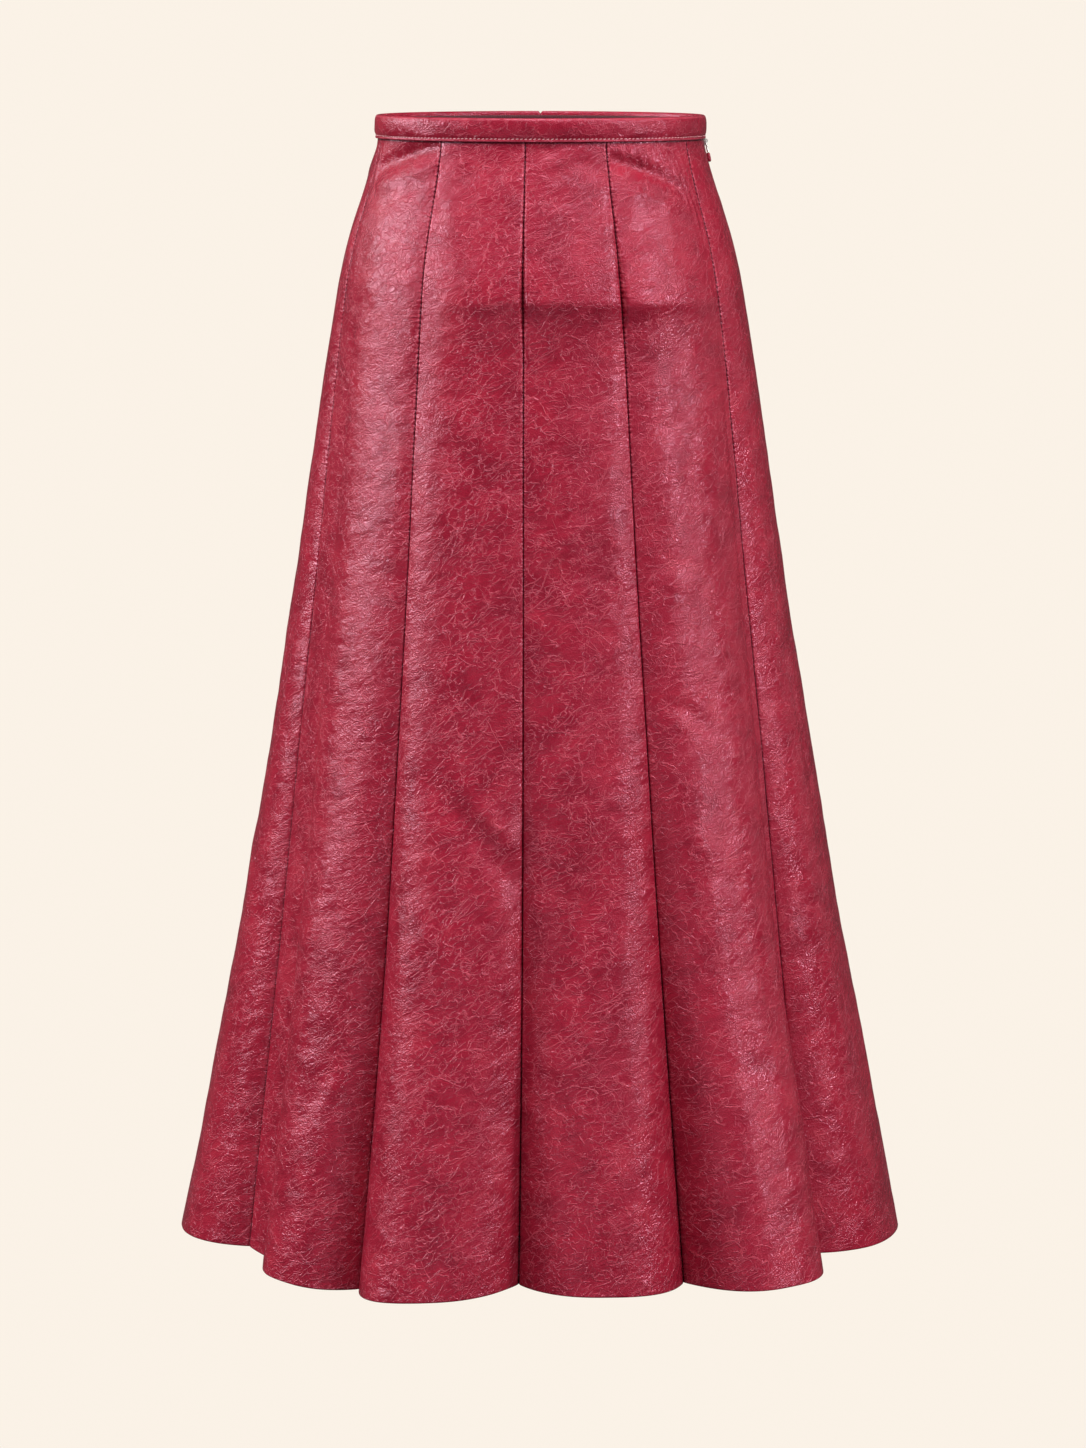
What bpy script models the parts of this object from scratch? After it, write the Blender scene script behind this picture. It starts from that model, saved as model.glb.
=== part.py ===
"""A gored leather skirt: ten flared gores hung from a folded waistband, with a side zip.

The skirt stands as it is worn, with its front towards -Y and the zip on its +X side. The origin
is the centre of the waistband. All sizes in the tables are in millimetres; the meshes are in metres.
"""
import math

import bmesh
import bpy
import numpy as np

MM = 0.001

# --- the skirt's form -------------------------------------------------------------------------

HEM_DROP = 836.0          # waistband's centre line down to the hem
FLUTE_ROUNDNESS = 2.4     # 2 is a parabola, more is a fuller flute

# Level cross-sections. Each is half an ellipse in front and half an ellipse behind.
# drop below the origin, half width, depth in front, depth behind, share of the hem's flute depth
SECTIONS = np.array([
    (0.0, 121.6, 96.2, 96.2, 0.0),
    (9.0, 121.6, 96.2, 96.2, 0.0),
    (24.0, 124.8, 99.6, 99.6, 0.01),
    (45.0, 130.4, 106.5, 107.0, 0.03),
    (80.0, 140.8, 117.5, 117.5, 0.06),
    (112.0, 147.8, 125.0, 125.5, 0.08),
    (140.0, 152.0, 126.5, 131.0, 0.10),
    (170.0, 156.0, 128.5, 135.0, 0.125),
    (230.0, 163.2, 137.0, 140.0, 0.17),
    (320.0, 173.8, 147.0, 149.0, 0.25),
    (450.0, 190.4, 161.0, 161.0, 0.39),
    (600.0, 209.4, 176.0, 175.0, 0.59),
    (730.0, 227.4, 189.5, 187.0, 0.80),
    (HEM_DROP, 242.4, 200.5, 196.0, 1.0),
])

# The seams, going round from the centre back over the left side (-X).
# angle from the centre front at the waist, its bow at half height, angle at the hem (degrees),
# and how much lower than the hem line the seam ends
SEAMS = (
    {"waist": -180.0, "bow": 0.0, "hem": -180.0, "lower": 0.0},
    {"waist": -143.0, "bow": 0.0, "hem": -141.0, "lower": 2.0},
    {"waist": -100.0, "bow": 0.0, "hem": -103.0, "lower": 1.0},
    {"waist": -73.0, "bow": 0.0, "hem": -60.0, "lower": 0.5},
    {"waist": -31.5, "bow": 1.7, "hem": -28.0, "lower": 11.5},
    {"waist": 0.0, "bow": 0.9, "hem": 1.7, "lower": -1.5},
    {"waist": 28.5, "bow": 0.0, "hem": 31.3, "lower": 1.0},
    {"waist": 67.5, "bow": 0.9, "hem": 61.5, "lower": -5.0},
    {"waist": 99.0, "bow": 0.0, "hem": 103.0, "lower": -8.0},
    {"waist": 143.0, "bow": 0.0, "hem": 141.0, "lower": -2.0},
    {"waist": 180.0, "bow": 0.0, "hem": 180.0, "lower": 0.0},
)
LEFT_SIDE_SEAM = 2
ZIP_SEAM = 8

# Each gore lies between the seam of its own row and the next one.
# flute: how far it bulges at the hem; flat_first, flat_last: share of its width left flat
GORES = (
    {"name": "back_left", "flute": 41.0, "flat_first": 0.0, "flat_last": 0.0},
    {"name": "side_back_left", "flute": 38.0, "flat_first": 0.0, "flat_last": 0.0},
    {"name": "side_left", "flute": 33.0, "flat_first": 0.0, "flat_last": 0.0},
    {"name": "side_front_left", "flute": 28.0, "flat_first": 0.28, "flat_last": 0.0},
    {"name": "front_left", "flute": 45.0, "flat_first": 0.0, "flat_last": 0.0},
    {"name": "front_right", "flute": 36.0, "flat_first": 0.0, "flat_last": 0.0},
    {"name": "side_front_right", "flute": 55.0, "flat_first": 0.0, "flat_last": 0.08},
    {"name": "side_right", "flute": 34.0, "flat_first": 0.0, "flat_last": 0.0},
    {"name": "side_back_right", "flute": 40.0, "flat_first": 0.0, "flat_last": 0.0},
    {"name": "back_right", "flute": 42.0, "flat_first": 0.0, "flat_last": 0.0},
)

# --- the leather walls ------------------------------------------------------------------------

WALL = 1.2                # one layer of leather
HEM_WALL = 2.2            # where the hem is turned up
HEM_TURN = 36.0           # height of the turned-up hem
HEM_BEAD = 0.7            # rounding of the hem's edge
CLEARANCE = 0.3           # gap between neighbouring pieces
GORE_TOP = 1.0            # drop of the gores' upper ends, inside the band
BAND_EDGE = 8.5           # drop of the band's lower edge; its upper edge stands as far above
CREASE_COLUMNS = 8        # columns across a gore between its two sewn edges

# Drops of the rows of a gore below the band, down to the turned-up hem.
ROW_DROPS = (11.5, 20.0, 26.0, 45.0, 75.0, 110.0, 140.0, 175.0, 245.0, 340.0, 460.0, 600.0,
             720.0)

# A sewn edge, from the tip of its allowance out over the rounded seam to the open leather.
# across: distance from the seam; inward: depth below the surface
SEWN_EDGE = {
    "outer": ({"across": 0.0, "inward": 4.0}, {"across": 0.0, "inward": 2.2},
              {"across": 0.65, "inward": 0.64}, {"across": 2.2, "inward": 0.0}),
    "inner": ({"across": 1.2, "inward": 4.0}, {"across": 1.2, "inward": 2.6},
              {"across": 1.6, "inward": WALL}, {"across": 3.0, "inward": WALL}),
}
# The same edge inside the band, where the allowance is cut away.
TRIMMED_EDGE = {
    "outer": ({"across": 0.0, "inward": WALL}, {"across": 0.0, "inward": 0.5},
              {"across": 0.15, "inward": 0.14}, {"across": 0.5, "inward": 0.0}),
    "inner": ({"across": 0.6, "inward": WALL}, {"across": 1.0, "inward": WALL},
              {"across": 1.4, "inward": WALL}, {"across": 2.0, "inward": WALL}),
}

# --- the waistband ----------------------------------------------------------------------------

BAND_STEP = 5.2           # degrees between two sections of the band
BAND_LEAF = 1.2           # thickness of the band's outer and inner leaf
CENTRE_BACK_JOIN = 185.2  # angle of the band's join behind, a little to the left
JOIN_NOTCH = {"length": 1.6, "depth": 1.3}
FACING = {"top": 5.5, "bottom": -7.5, "thickness": 0.8}

# --- the zip ----------------------------------------------------------------------------------

ZIP_GAP = 0.95            # half the opening between the gores' edges beside the slider
ZIP_OPEN_FROM = 8.8       # drop where that opening starts inside the band
ZIP_OPEN_TO = 20.0        # and the drop where it ends
TAPE = {"top": 9.5, "bottom": 192.0, "width": 11.0, "thickness": 0.8, "depth": 4.3, "slit": 0.25}
PIN = {"drop": 10.8, "outward": 1.9, "radius": 0.5}
LUG = {"hole_radius": 0.9, "outer_radius": 1.6, "thickness": 1.2}
BRIDGE = {"inner": -6.6, "outer": -0.5, "top": 9.7, "bottom": 17.0}
WINGS = {"outer": -5.4, "inner": -7.4, "top": 10.0, "bottom": 19.0, "width": 7.4}
PULL_LEAN = 12.0          # degrees from plumb at which the pull rests on the cloth
LINK = {"half_width": 1.6, "corner": 0.9, "length": 8.8}
DROP_PROFILE = (          # the leather drop: distance from the pin, half width, half thickness
    (9.1, 1.3, 0.8), (9.5, 1.8, 1.1), (11.0, 2.1, 1.3), (12.8, 2.4, 1.35),
    (14.2, 2.4, 1.3), (15.3, 1.9, 1.1), (15.9, 1.0, 0.7),
)
LINK_SIDES = 10
DROP_SIDES = 14


# --- finishes -----------------------------------------------------------------------------------

def finish(name, colour, roughness, metallic=0.0):
    """A Principled material of one colour."""
    material = bpy.data.materials.new(name)
    material.use_nodes = True
    shader = material.node_tree.nodes["Principled BSDF"]
    shader.inputs["Base Color"].default_value = (*colour, 1.0)
    shader.inputs["Roughness"].default_value = roughness
    shader.inputs["Metallic"].default_value = metallic
    material.diffuse_color = (*colour, 1.0)
    return material


def red_leather(name):
    return finish(name + "_leather", (0.376, 0.026, 0.061), 0.38)


def maroon_ribbon(name):
    return finish(name + "_ribbon", (0.085, 0.008, 0.016), 0.8)


def zip_tape_cloth(name):
    return finish(name + "_tape", (0.16, 0.012, 0.03), 0.85)


def bright_metal(name):
    return finish(name + "_metal", (0.72, 0.70, 0.68), 0.25, 1.0)


# --- solids from rings ----------------------------------------------------------------------------

def solid(name, rings, material, strip_ends=False, origin=(0.0, 0.0, 0.0)):
    """One closed body through a row of rings with equally many points, in millimetres.

    Its ends are filled either as one flat face, or, for a ring that goes along an outer side and
    back along an inner one, with a strip between the two.
    """
    count = len(rings[0])
    origin = np.array(origin)
    mesh = bmesh.new()
    rows = [[mesh.verts.new((np.array(point) - origin) * MM) for point in ring] for ring in rings]
    for row, next_row in zip(rows, rows[1:]):
        for i in range(count):
            j = (i + 1) % count
            mesh.faces.new((row[i], row[j], next_row[j]))
            mesh.faces.new((row[i], next_row[j], next_row[i]))
    for end in (rows[0], rows[-1]):
        if strip_ends:
            for i in range(count // 2 - 1):
                mesh.faces.new((end[i], end[i + 1], end[count - 2 - i]))
                mesh.faces.new((end[i], end[count - 2 - i], end[count - 1 - i]))
        else:
            face = mesh.faces.new(end)
            bmesh.ops.triangulate(mesh, faces=[face], ngon_method="EAR_CLIP")
    bmesh.ops.recalc_face_normals(mesh, faces=mesh.faces)
    data = bpy.data.meshes.new(name)
    mesh.to_mesh(data)
    mesh.free()
    data.materials.append(material)
    data.shade_smooth()
    data.set_sharp_from_angle(angle=math.radians(35.0))
    piece = bpy.data.objects.new(name, data)
    piece.location = origin * MM
    bpy.context.scene.collection.objects.link(piece)
    return piece


# --- the surface of the skirt -----------------------------------------------------------------------

def section_at(drop):
    """Half width, front depth, back depth and flute share at a drop, smooth between the rows."""
    drops = SECTIONS[:, 0]
    slopes = np.gradient(SECTIONS[:, 1:], drops, axis=0)
    i = min(max(int(np.searchsorted(drops, drop, side="right")) - 1, 0), len(drops) - 2)
    height = drops[i + 1] - drops[i]
    u = (drop - drops[i]) / height
    start = (2 * u**3 - 3 * u**2 + 1) * SECTIONS[i, 1:] + (u**3 - 2 * u**2 + u) * height * slopes[i]
    end = (3 * u**2 - 2 * u**3) * SECTIONS[i + 1, 1:] + (u**3 - u**2) * height * slopes[i + 1]
    return start + end


def seam_angle(seam, drop):
    """The seam's angle round the section at a drop, in radians from the centre front."""
    row = SEAMS[seam]
    share = min(drop / HEM_DROP, 1.0)
    angle = row["waist"] + (row["hem"] - row["waist"]) * share + row["bow"] * 4 * share * (1 - share)
    return math.radians(angle)


def ellipse_frame(angle, drop):
    """Point of the section without flutes, the way along it and the way outwards."""
    half_width, front, back, _ = section_at(drop)
    depth = front if math.cos(angle) > 0 else back
    point = np.array([half_width * math.sin(angle), -depth * math.cos(angle), -drop])
    along = np.array([half_width * math.cos(angle), depth * math.sin(angle), 0.0])
    along /= np.linalg.norm(along)
    outward = np.array([along[1], -along[0], 0.0])
    return point, along, outward


def flute_shape(gore, share):
    """How far the gore has bulged, 0 at its seams and 1 on its crest."""
    row = GORES[gore]
    open_width = 1.0 - row["flat_first"] - row["flat_last"]
    place = min(max((share - row["flat_first"]) / open_width, 0.0), 1.0)
    return 1.0 - abs(2.0 * place - 1.0) ** FLUTE_ROUNDNESS


def gore_point(gore, share, drop):
    """Point on a gore's outer surface: share 0 is its first seam and 1 its second."""
    angle = (1 - share) * seam_angle(gore, drop) + share * seam_angle(gore + 1, drop)
    point, _, outward = ellipse_frame(angle, drop)
    point = point + outward * GORES[gore]["flute"] * section_at(drop)[3] * flute_shape(gore, share)
    lower = (1 - share) * SEAMS[gore]["lower"] + share * SEAMS[gore + 1]["lower"]
    point[2] -= lower * drop / HEM_DROP
    return point


def gore_outward(gore, share, drop):
    """Level direction outwards, square to the gore."""
    step = 0.002
    before = gore_point(gore, max(share - step, 0.0), drop)
    after = gore_point(gore, min(share + step, 1.0), drop)
    along = after - before
    outward = np.array([along[1], -along[0], 0.0])
    return outward / np.linalg.norm(outward)


def gore_width(gore, drop):
    """Width of the gore along the section, without its flute."""
    first, _, _ = ellipse_frame(seam_angle(gore, drop), drop)
    middle = 0.5 * (seam_angle(gore, drop) + seam_angle(gore + 1, drop))
    centre, _, _ = ellipse_frame(middle, drop)
    last, _, _ = ellipse_frame(seam_angle(gore + 1, drop), drop)
    return np.linalg.norm(centre - first) + np.linalg.norm(last - centre)


def seam_gap(seam, drop):
    """Half the gap between the two edges of a seam: the zip's seam opens beside the slider."""
    if seam == ZIP_SEAM and ZIP_OPEN_FROM <= drop <= ZIP_OPEN_TO:
        return ZIP_GAP
    return CLEARANCE / 2


# --- the gores ----------------------------------------------------------------------------------------

def sewn_edge(gore, at_second_seam, drop, wall, bead):
    """Outer and inner points of one sewn edge, from the seam to the open leather."""
    profile = SEWN_EDGE if drop > BAND_EDGE + CLEARANCE else TRIMMED_EDGE
    seam = gore + 1 if at_second_seam else gore
    side = -1.0 if at_second_seam else 1.0
    base = gore_point(gore, 1.0 if at_second_seam else 0.0, drop)
    _, along, outward = ellipse_frame(seam_angle(seam, drop), drop)
    away = along * side
    start = base + away * seam_gap(seam, drop)

    def open_leather(across):
        share = across / gore_width(gore, drop)
        share = 1.0 - share if at_second_seam else share
        return share, gore_point(gore, share, drop) + away * seam_gap(seam, drop)

    outer = []
    for station in profile["outer"]:
        _, point = open_leather(station["across"])
        inward = station["inward"] + (bead if station["inward"] == 0.0 else 0.0)
        outer.append(point - outward * inward)
    inner = []
    for station in profile["inner"][:2]:
        inner.append(start + away * station["across"] - outward * station["inward"])
    for station in profile["inner"][2:]:
        share, point = open_leather(station["across"])
        inner.append(point - gore_outward(gore, share, drop) * (wall - bead))
    return outer, inner


def gore_ring(gore, drop, wall, bead=0.0):
    """Level ring round a gore's wall: along its outer side, then back along its inner side."""
    first_outer, first_inner = sewn_edge(gore, False, drop, wall, bead)
    last_outer, last_inner = sewn_edge(gore, True, drop, wall, bead)
    outer = []
    inner = []
    for column in range(1, CREASE_COLUMNS + 1):
        share = column / (CREASE_COLUMNS + 1)
        point = gore_point(gore, share, drop)
        outward = gore_outward(gore, share, drop)
        outer.append(point - outward * bead)
        inner.append(point - outward * (wall - bead))
    outer = first_outer + outer + last_outer[::-1]
    inner = first_inner + inner + last_inner[::-1]
    return outer + inner[::-1]


def build_gore(gore):
    """One gore, from inside the band down to its turned-up hem."""
    turn = HEM_DROP - HEM_TURN
    rings = [gore_ring(gore, drop, WALL) for drop in (GORE_TOP, ZIP_OPEN_FROM) + ROW_DROPS]
    rings.append(gore_ring(gore, turn, WALL))
    rings.append(gore_ring(gore, turn + HEM_BEAD, HEM_WALL))
    rings.append(gore_ring(gore, HEM_DROP - 1.5 * HEM_BEAD, HEM_WALL))
    rings.append(gore_ring(gore, HEM_DROP, HEM_WALL, HEM_BEAD))
    name = "gore_" + GORES[gore]["name"]
    solid(name, rings, red_leather(name), strip_ends=True)


# --- the waistband ----------------------------------------------------------------------------------

def band_profile(lowered=0.0):
    """The folded band's section: distance outwards from the gores' surface, and height."""
    outer = CLEARANCE + BAND_LEAF
    slot_inner = -(WALL + CLEARANCE)
    inner = slot_inner - BAND_LEAF
    top = BAND_EDGE - lowered
    slot_top = -(GORE_TOP - CLEARANCE)
    return (
        (outer, -BAND_EDGE), (outer, top - 2.3), (outer - 0.4, top - 0.9), (outer - 1.4, top),
        (inner + 1.4, top), (inner + 0.4, top - 0.9), (inner, top - 2.3), (inner, -BAND_EDGE),
        (slot_inner, -BAND_EDGE), (slot_inner, slot_top), (CLEARANCE, slot_top),
        (CLEARANCE, -BAND_EDGE),
    )


def facing_profile():
    """The ribbed facing's section, just inside the band."""
    outer = -(WALL + 2 * CLEARANCE + BAND_LEAF)
    inner = outer - FACING["thickness"]
    return ((outer, FACING["bottom"]), (outer, FACING["top"]),
            (inner, FACING["top"]), (inner, FACING["bottom"]))


def band_ring(angle, profile, shift=0.0):
    """The profile set up at an angle round the waist, moved along the band by a shift."""
    point, along, outward = ellipse_frame(angle, 0.0)
    centre = point + along * shift
    up = np.array([0.0, 0.0, 1.0])
    return [centre + outward * out + up * height for out, height in profile]


def band_angles(first, last):
    """Angles of the sections between two joins, evenly spaced, in radians."""
    count = max(2, round((last - first) / BAND_STEP))
    return np.radians(np.linspace(first, last, count + 1))


def build_band(name, first, last, notch_first=False, notch_last=False):
    """One length of the band between two joins, with a notch at the centre-back join."""
    angles = band_angles(first, last)
    gap = CLEARANCE / 2
    length = JOIN_NOTCH["length"]
    notched = band_profile(JOIN_NOTCH["depth"])
    plain = band_profile()
    rings = [band_ring(angles[0], notched if notch_first else plain, gap)]
    if notch_first:
        rings.append(band_ring(angles[0], plain, length))
    rings += [band_ring(angle, plain) for angle in angles[1:-1]]
    if notch_last:
        rings.append(band_ring(angles[-1], plain, -length))
    rings.append(band_ring(angles[-1], notched if notch_last else plain, -gap))
    solid(name, rings, red_leather(name))


def build_waistband():
    zip_angle = SEAMS[ZIP_SEAM]["waist"]
    left_angle = SEAMS[LEFT_SIDE_SEAM]["waist"]
    build_band("band_front", left_angle, zip_angle)
    build_band("band_back_right", zip_angle, CENTRE_BACK_JOIN, notch_last=True)
    build_band("band_back_left", CENTRE_BACK_JOIN - 360.0, left_angle, notch_first=True)


def build_facing():
    """The facing runs once round inside the band, from one side of the zip to the other."""
    zip_angle = SEAMS[ZIP_SEAM]["waist"]
    angles = band_angles(zip_angle - 360.0, zip_angle)
    profile = facing_profile()
    rings = [band_ring(angles[0], profile, CLEARANCE)]
    rings += [band_ring(angle, profile) for angle in angles[1:-1]]
    rings.append(band_ring(angles[-1], profile, -CLEARANCE))
    solid("band_facing", rings, maroon_ribbon("band_facing"))


# --- the zip ------------------------------------------------------------------------------------------

def zip_frame(drop):
    """A point of the zip's seam, the way along the waist and the way outwards."""
    base = gore_point(ZIP_SEAM, 0.0, drop)
    _, along, outward = ellipse_frame(seam_angle(ZIP_SEAM, drop), drop)
    return base, along, outward


def build_tape(name, side):
    """One half of the zip's tape, behind the seam: side is -1 in front and 1 behind."""
    drops = [TAPE["top"]]
    drops += [drop for drop in ROW_DROPS if drop < TAPE["bottom"]]
    drops.append(TAPE["bottom"])
    rings = []
    for drop in drops:
        base, along, outward = zip_frame(drop)
        edge = ZIP_GAP if drop <= ZIP_OPEN_TO else TAPE["slit"]
        near = base + along * side * edge - outward * TAPE["depth"]
        far = base + along * side * TAPE["width"] - outward * TAPE["depth"]
        depth = outward * TAPE["thickness"]
        rings.append([near, far, far - depth, near - depth])
    solid(name, rings, zip_tape_cloth(name))


def slider_point(outward_by, drop, along_by):
    """A point placed from the pin: the slider and the pull are built square to the waist there."""
    base, along, outward = zip_frame(PIN["drop"])
    level = base + outward * outward_by + along * along_by
    level[2] = -drop
    return level


def build_slider():
    """The slider: a bridge plate with the pull's eye, and its wings behind the tape."""
    steps = 24
    centre = (PIN["outward"], PIN["drop"])
    corners = ((BRIDGE["outer"], BRIDGE["bottom"]), (BRIDGE["inner"], BRIDGE["bottom"]),
               (BRIDGE["inner"], BRIDGE["top"]), (BRIDGE["outer"], BRIDGE["top"]))
    arc_from, arc_to = math.radians(-88.0), math.radians(50.0)
    outline = []
    for i in range(steps // 2):
        angle = arc_from + (arc_to - arc_from) * i / (steps // 2 - 1)
        outline.append((centre[0] + LUG["outer_radius"] * math.cos(angle),
                        centre[1] + LUG["outer_radius"] * math.sin(angle)))
    outline += corners
    eye = []
    for point in outline:
        angle = math.atan2(point[1] - centre[1], point[0] - centre[0])
        eye.append((centre[0] + LUG["hole_radius"] * math.cos(angle),
                    centre[1] + LUG["hole_radius"] * math.sin(angle)))
    half = LUG["thickness"] / 2
    mesh = bmesh.new()
    loops = []
    for loop, along_by in ((outline, -half), (outline, half), (eye, half), (eye, -half)):
        loops.append([mesh.verts.new(slider_point(out, drop, along_by) * MM) for out, drop in loop])
    for loop, next_loop in zip(loops, loops[1:] + loops[:1]):
        for i in range(len(loop)):
            j = (i + 1) % len(loop)
            mesh.faces.new((loop[i], loop[j], next_loop[j], next_loop[i]))
    bmesh.ops.recalc_face_normals(mesh, faces=mesh.faces)
    data = bpy.data.meshes.new("zip_slider")
    mesh.to_mesh(data)
    mesh.free()
    data.materials.append(bright_metal("zip_slider"))
    slider = bpy.data.objects.new("zip_slider", data)
    bpy.context.scene.collection.objects.link(slider)
    wings = build_wings()
    union = slider.modifiers.new("wings", "BOOLEAN")
    union.operation = "UNION"
    union.solver = "EXACT"
    union.object = wings


def build_wings():
    """The block that rides behind the tape, which the slider's bridge is joined to."""
    half = WINGS["width"] / 2
    rings = []
    for drop, narrower in ((WINGS["top"], 0.8), (WINGS["top"] + 1.5, 0.0), (WINGS["bottom"], 1.2)):
        side = half - narrower
        rings.append([slider_point(WINGS["outer"], drop, -side), slider_point(WINGS["outer"], drop, side),
                      slider_point(WINGS["inner"], drop, side), slider_point(WINGS["inner"], drop, -side)])
    wings = solid("slider_wings", rings, bright_metal("slider_wings"))
    wings.hide_render = True
    wings.display_type = "WIRE"
    return wings


def pull_frame():
    """The pin's centre, and the pull's ways along the waist, down its length and off the cloth."""
    _, along, outward = zip_frame(PIN["drop"])
    lean = math.radians(PULL_LEAN)
    up = np.array([0.0, 0.0, 1.0])
    down = outward * math.sin(lean) - up * math.cos(lean)
    off = outward * math.cos(lean) + up * math.sin(lean)
    return slider_point(PIN["outward"], PIN["drop"], 0.0), along, down, off


def build_link():
    """A hairpin of bright wire whose bend turns in the slider's eye."""
    pin, along, down, off = pull_frame()
    half, corner = LINK["half_width"], LINK["corner"]
    path = [((-half, LINK["length"]), 180.0), ((-half, 0.5 * LINK["length"]), 180.0)]
    for turn in (180.0, 210.0, 240.0, 270.0):
        angle = math.radians(turn)
        path.append(((-half + corner + corner * math.cos(angle),
                      corner + corner * math.sin(angle)), turn))
    for (across, length), turn in path[::-1]:
        path.append(((-across, length), 540.0 - turn))
    rings = []
    for (across, length), turn in path:
        centre = pin + along * across + down * length
        side = along * math.cos(math.radians(turn)) + down * math.sin(math.radians(turn))
        ring = []
        for i in range(LINK_SIDES):
            angle = 2 * math.pi * i / LINK_SIDES
            ring.append(centre + PIN["radius"] * (side * math.cos(angle) + off * math.sin(angle)))
        rings.append(ring)
    solid("zip_link", rings, bright_metal("zip_link"), origin=pin)


def build_drop():
    """The small leather drop below the link."""
    pin, along, down, off = pull_frame()
    rings = []
    for length, half_width, half_thickness in DROP_PROFILE:
        ring = []
        for i in range(DROP_SIDES):
            angle = 2 * math.pi * (i + 0.5) / DROP_SIDES
            ring.append(pin + down * length + along * half_width * math.cos(angle)
                        + off * half_thickness * math.sin(angle))
        rings.append(ring)
    solid("zip_tab", rings, red_leather("zip_tab"), origin=pin)


def clear_scene():
    for item in list(bpy.data.objects):
        bpy.data.objects.remove(item)


def main():
    clear_scene()
    for gore in range(len(GORES)):
        build_gore(gore)
    build_waistband()
    build_facing()
    build_tape("zip_tape_front", -1.0)
    build_tape("zip_tape_back", 1.0)
    build_slider()
    build_link()
    build_drop()


main()
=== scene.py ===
"""The gored leather skirt, dressed: creased gores, folded band, ribbed facing and side zip."""
import math

import bmesh
import bpy
import numpy as np
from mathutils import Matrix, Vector


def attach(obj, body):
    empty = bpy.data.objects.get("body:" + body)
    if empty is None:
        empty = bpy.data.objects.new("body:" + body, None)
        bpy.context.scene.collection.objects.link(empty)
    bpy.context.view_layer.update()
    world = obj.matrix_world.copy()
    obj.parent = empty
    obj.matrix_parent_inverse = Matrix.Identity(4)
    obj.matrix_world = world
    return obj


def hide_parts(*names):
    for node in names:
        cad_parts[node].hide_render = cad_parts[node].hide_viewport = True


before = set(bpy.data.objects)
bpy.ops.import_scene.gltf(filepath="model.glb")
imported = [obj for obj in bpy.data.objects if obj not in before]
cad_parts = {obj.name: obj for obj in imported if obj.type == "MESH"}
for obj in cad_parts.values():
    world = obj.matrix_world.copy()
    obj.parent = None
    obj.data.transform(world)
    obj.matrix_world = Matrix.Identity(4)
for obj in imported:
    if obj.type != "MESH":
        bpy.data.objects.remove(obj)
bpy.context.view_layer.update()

MM = 0.001

# --- the skirt's form, in millimetres ---

HEM_DROP = 836.0          # waistband's centre line down to the hem
# drop, 2 for a parabola and more for a fuller flute
FLUTE_ROUNDNESS = ((320.0, 2.6), (600.0, 3.0), (HEM_DROP, 2.8))
# drop, share of the solid's flute that the looks keep there
FLUTE_EASE = ((140.0, 0.50), (320.0, 0.52), (450.0, 0.60), (600.0, 0.80), (730.0, 0.94),
              (HEM_DROP, 1.0))

# drop, half width, depth in front, depth behind, share of the hem's flute depth
SECTIONS = np.array([
    (0, 121.6, 96.2, 96.2, 0),
    (9, 121.6, 96.2, 96.2, 0),
    (24, 124.8, 99.6, 99.6, 0.01),
    (45, 130.4, 106.5, 107, 0.03),
    (80, 140.8, 117.5, 117.5, 0.06),
    (112, 147.8, 125, 125.5, 0.08),
    (140, 152, 126.5, 131, 0.10),
    (170, 156, 128.5, 135, 0.125),
    (230, 163.2, 137, 140, 0.17),
    (320, 173.8, 147, 149, 0.25),
    (450, 190.4, 161, 161, 0.39),
    (600, 209.4, 176, 175, 0.59),
    (730, 227.4, 189.5, 187, 0.80),
    (HEM_DROP, 242.4, 200.5, 196, 1),
])

# Seams from the centre back over the left side: angle at the waist, bow, angle at the hem, and how
# much lower than the hem line each one ends.
SEAMS = (
    (-180, 0, -180, 0), (-143, 0, -141, 2), (-100, 0, -103, 1),
    (-73, 0, -60, 0.5), (-31.5, 1.7, -28, 11.5), (0, 0.9, 1.7, -1.5),
    (28.5, 0, 31.3, 1), (67.5, 0.9, 61.5, -5), (99, 0, 103, -8),
    (143, 0, 141, -2), (180, 0, 180, 0),
)
LEFT_SIDE_SEAM = 2
ZIP_SEAM = 8

# gore, how far it bulges at the hem, share of its width left flat at its first and last seam
GORES = (
    ("back_left", 41, 0, 0), ("side_back_left", 38, 0, 0),
    ("side_left", 33, 0, 0), ("side_front_left", 28, 0.28, 0),
    ("front_left", 45, 0, 0), ("front_right", 36, 0, 0),
    ("side_front_right", 55, 0, 0.08), ("side_right", 34, 0, 0),
    ("side_back_right", 40, 0, 0), ("back_right", 42, 0, 0),
)
GORE_NAMES = [row[0] for row in GORES]
SIDE_GORES = (2, 7)       # their flutes make the outline, and are kept whole

WALL = 1.2                # one layer of leather
HEM_WALL = 2.2            # where the hem is turned up
HEM_TURN = 36.0           # height of the turned-up hem
GORE_TOP = 1.0            # drop of the gores' upper ends, inside the band
SEAM_GAP = 0.04           # half the gap left between two sewn edges
ZIP_GAP = 0.95            # half the opening between the edges beside the zip's slider
ZIP_OPENING = (8.8, 20.0)  # drops between which that opening lies
SEAM_ROLL = ((250.0, 1.0), (800.0, 2.2))   # drop, radius of the leather's roll into a seam there
ALLOWANCE = 4.0           # how deep a seam's allowance stands inside
SEAM_PITCH = 3.6          # between two stitches of a seam
CENTRE_BACK_JOIN = 185.2  # angle of the band's join behind
UP = np.array([0.0, 0.0, 1.0])

# --- the camera and the light ---

CAMERA_TURN = 6.6         # degrees round from the centre front towards the zip side
CAMERA_RISE = 8.2         # degrees above level
CAMERA_DISTANCE = 4.0     # metres
CAMERA_AIM = (0.002, -0.4498)   # across the view and up from the origin, metres
CAMERA_LENS = 131.4


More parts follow.
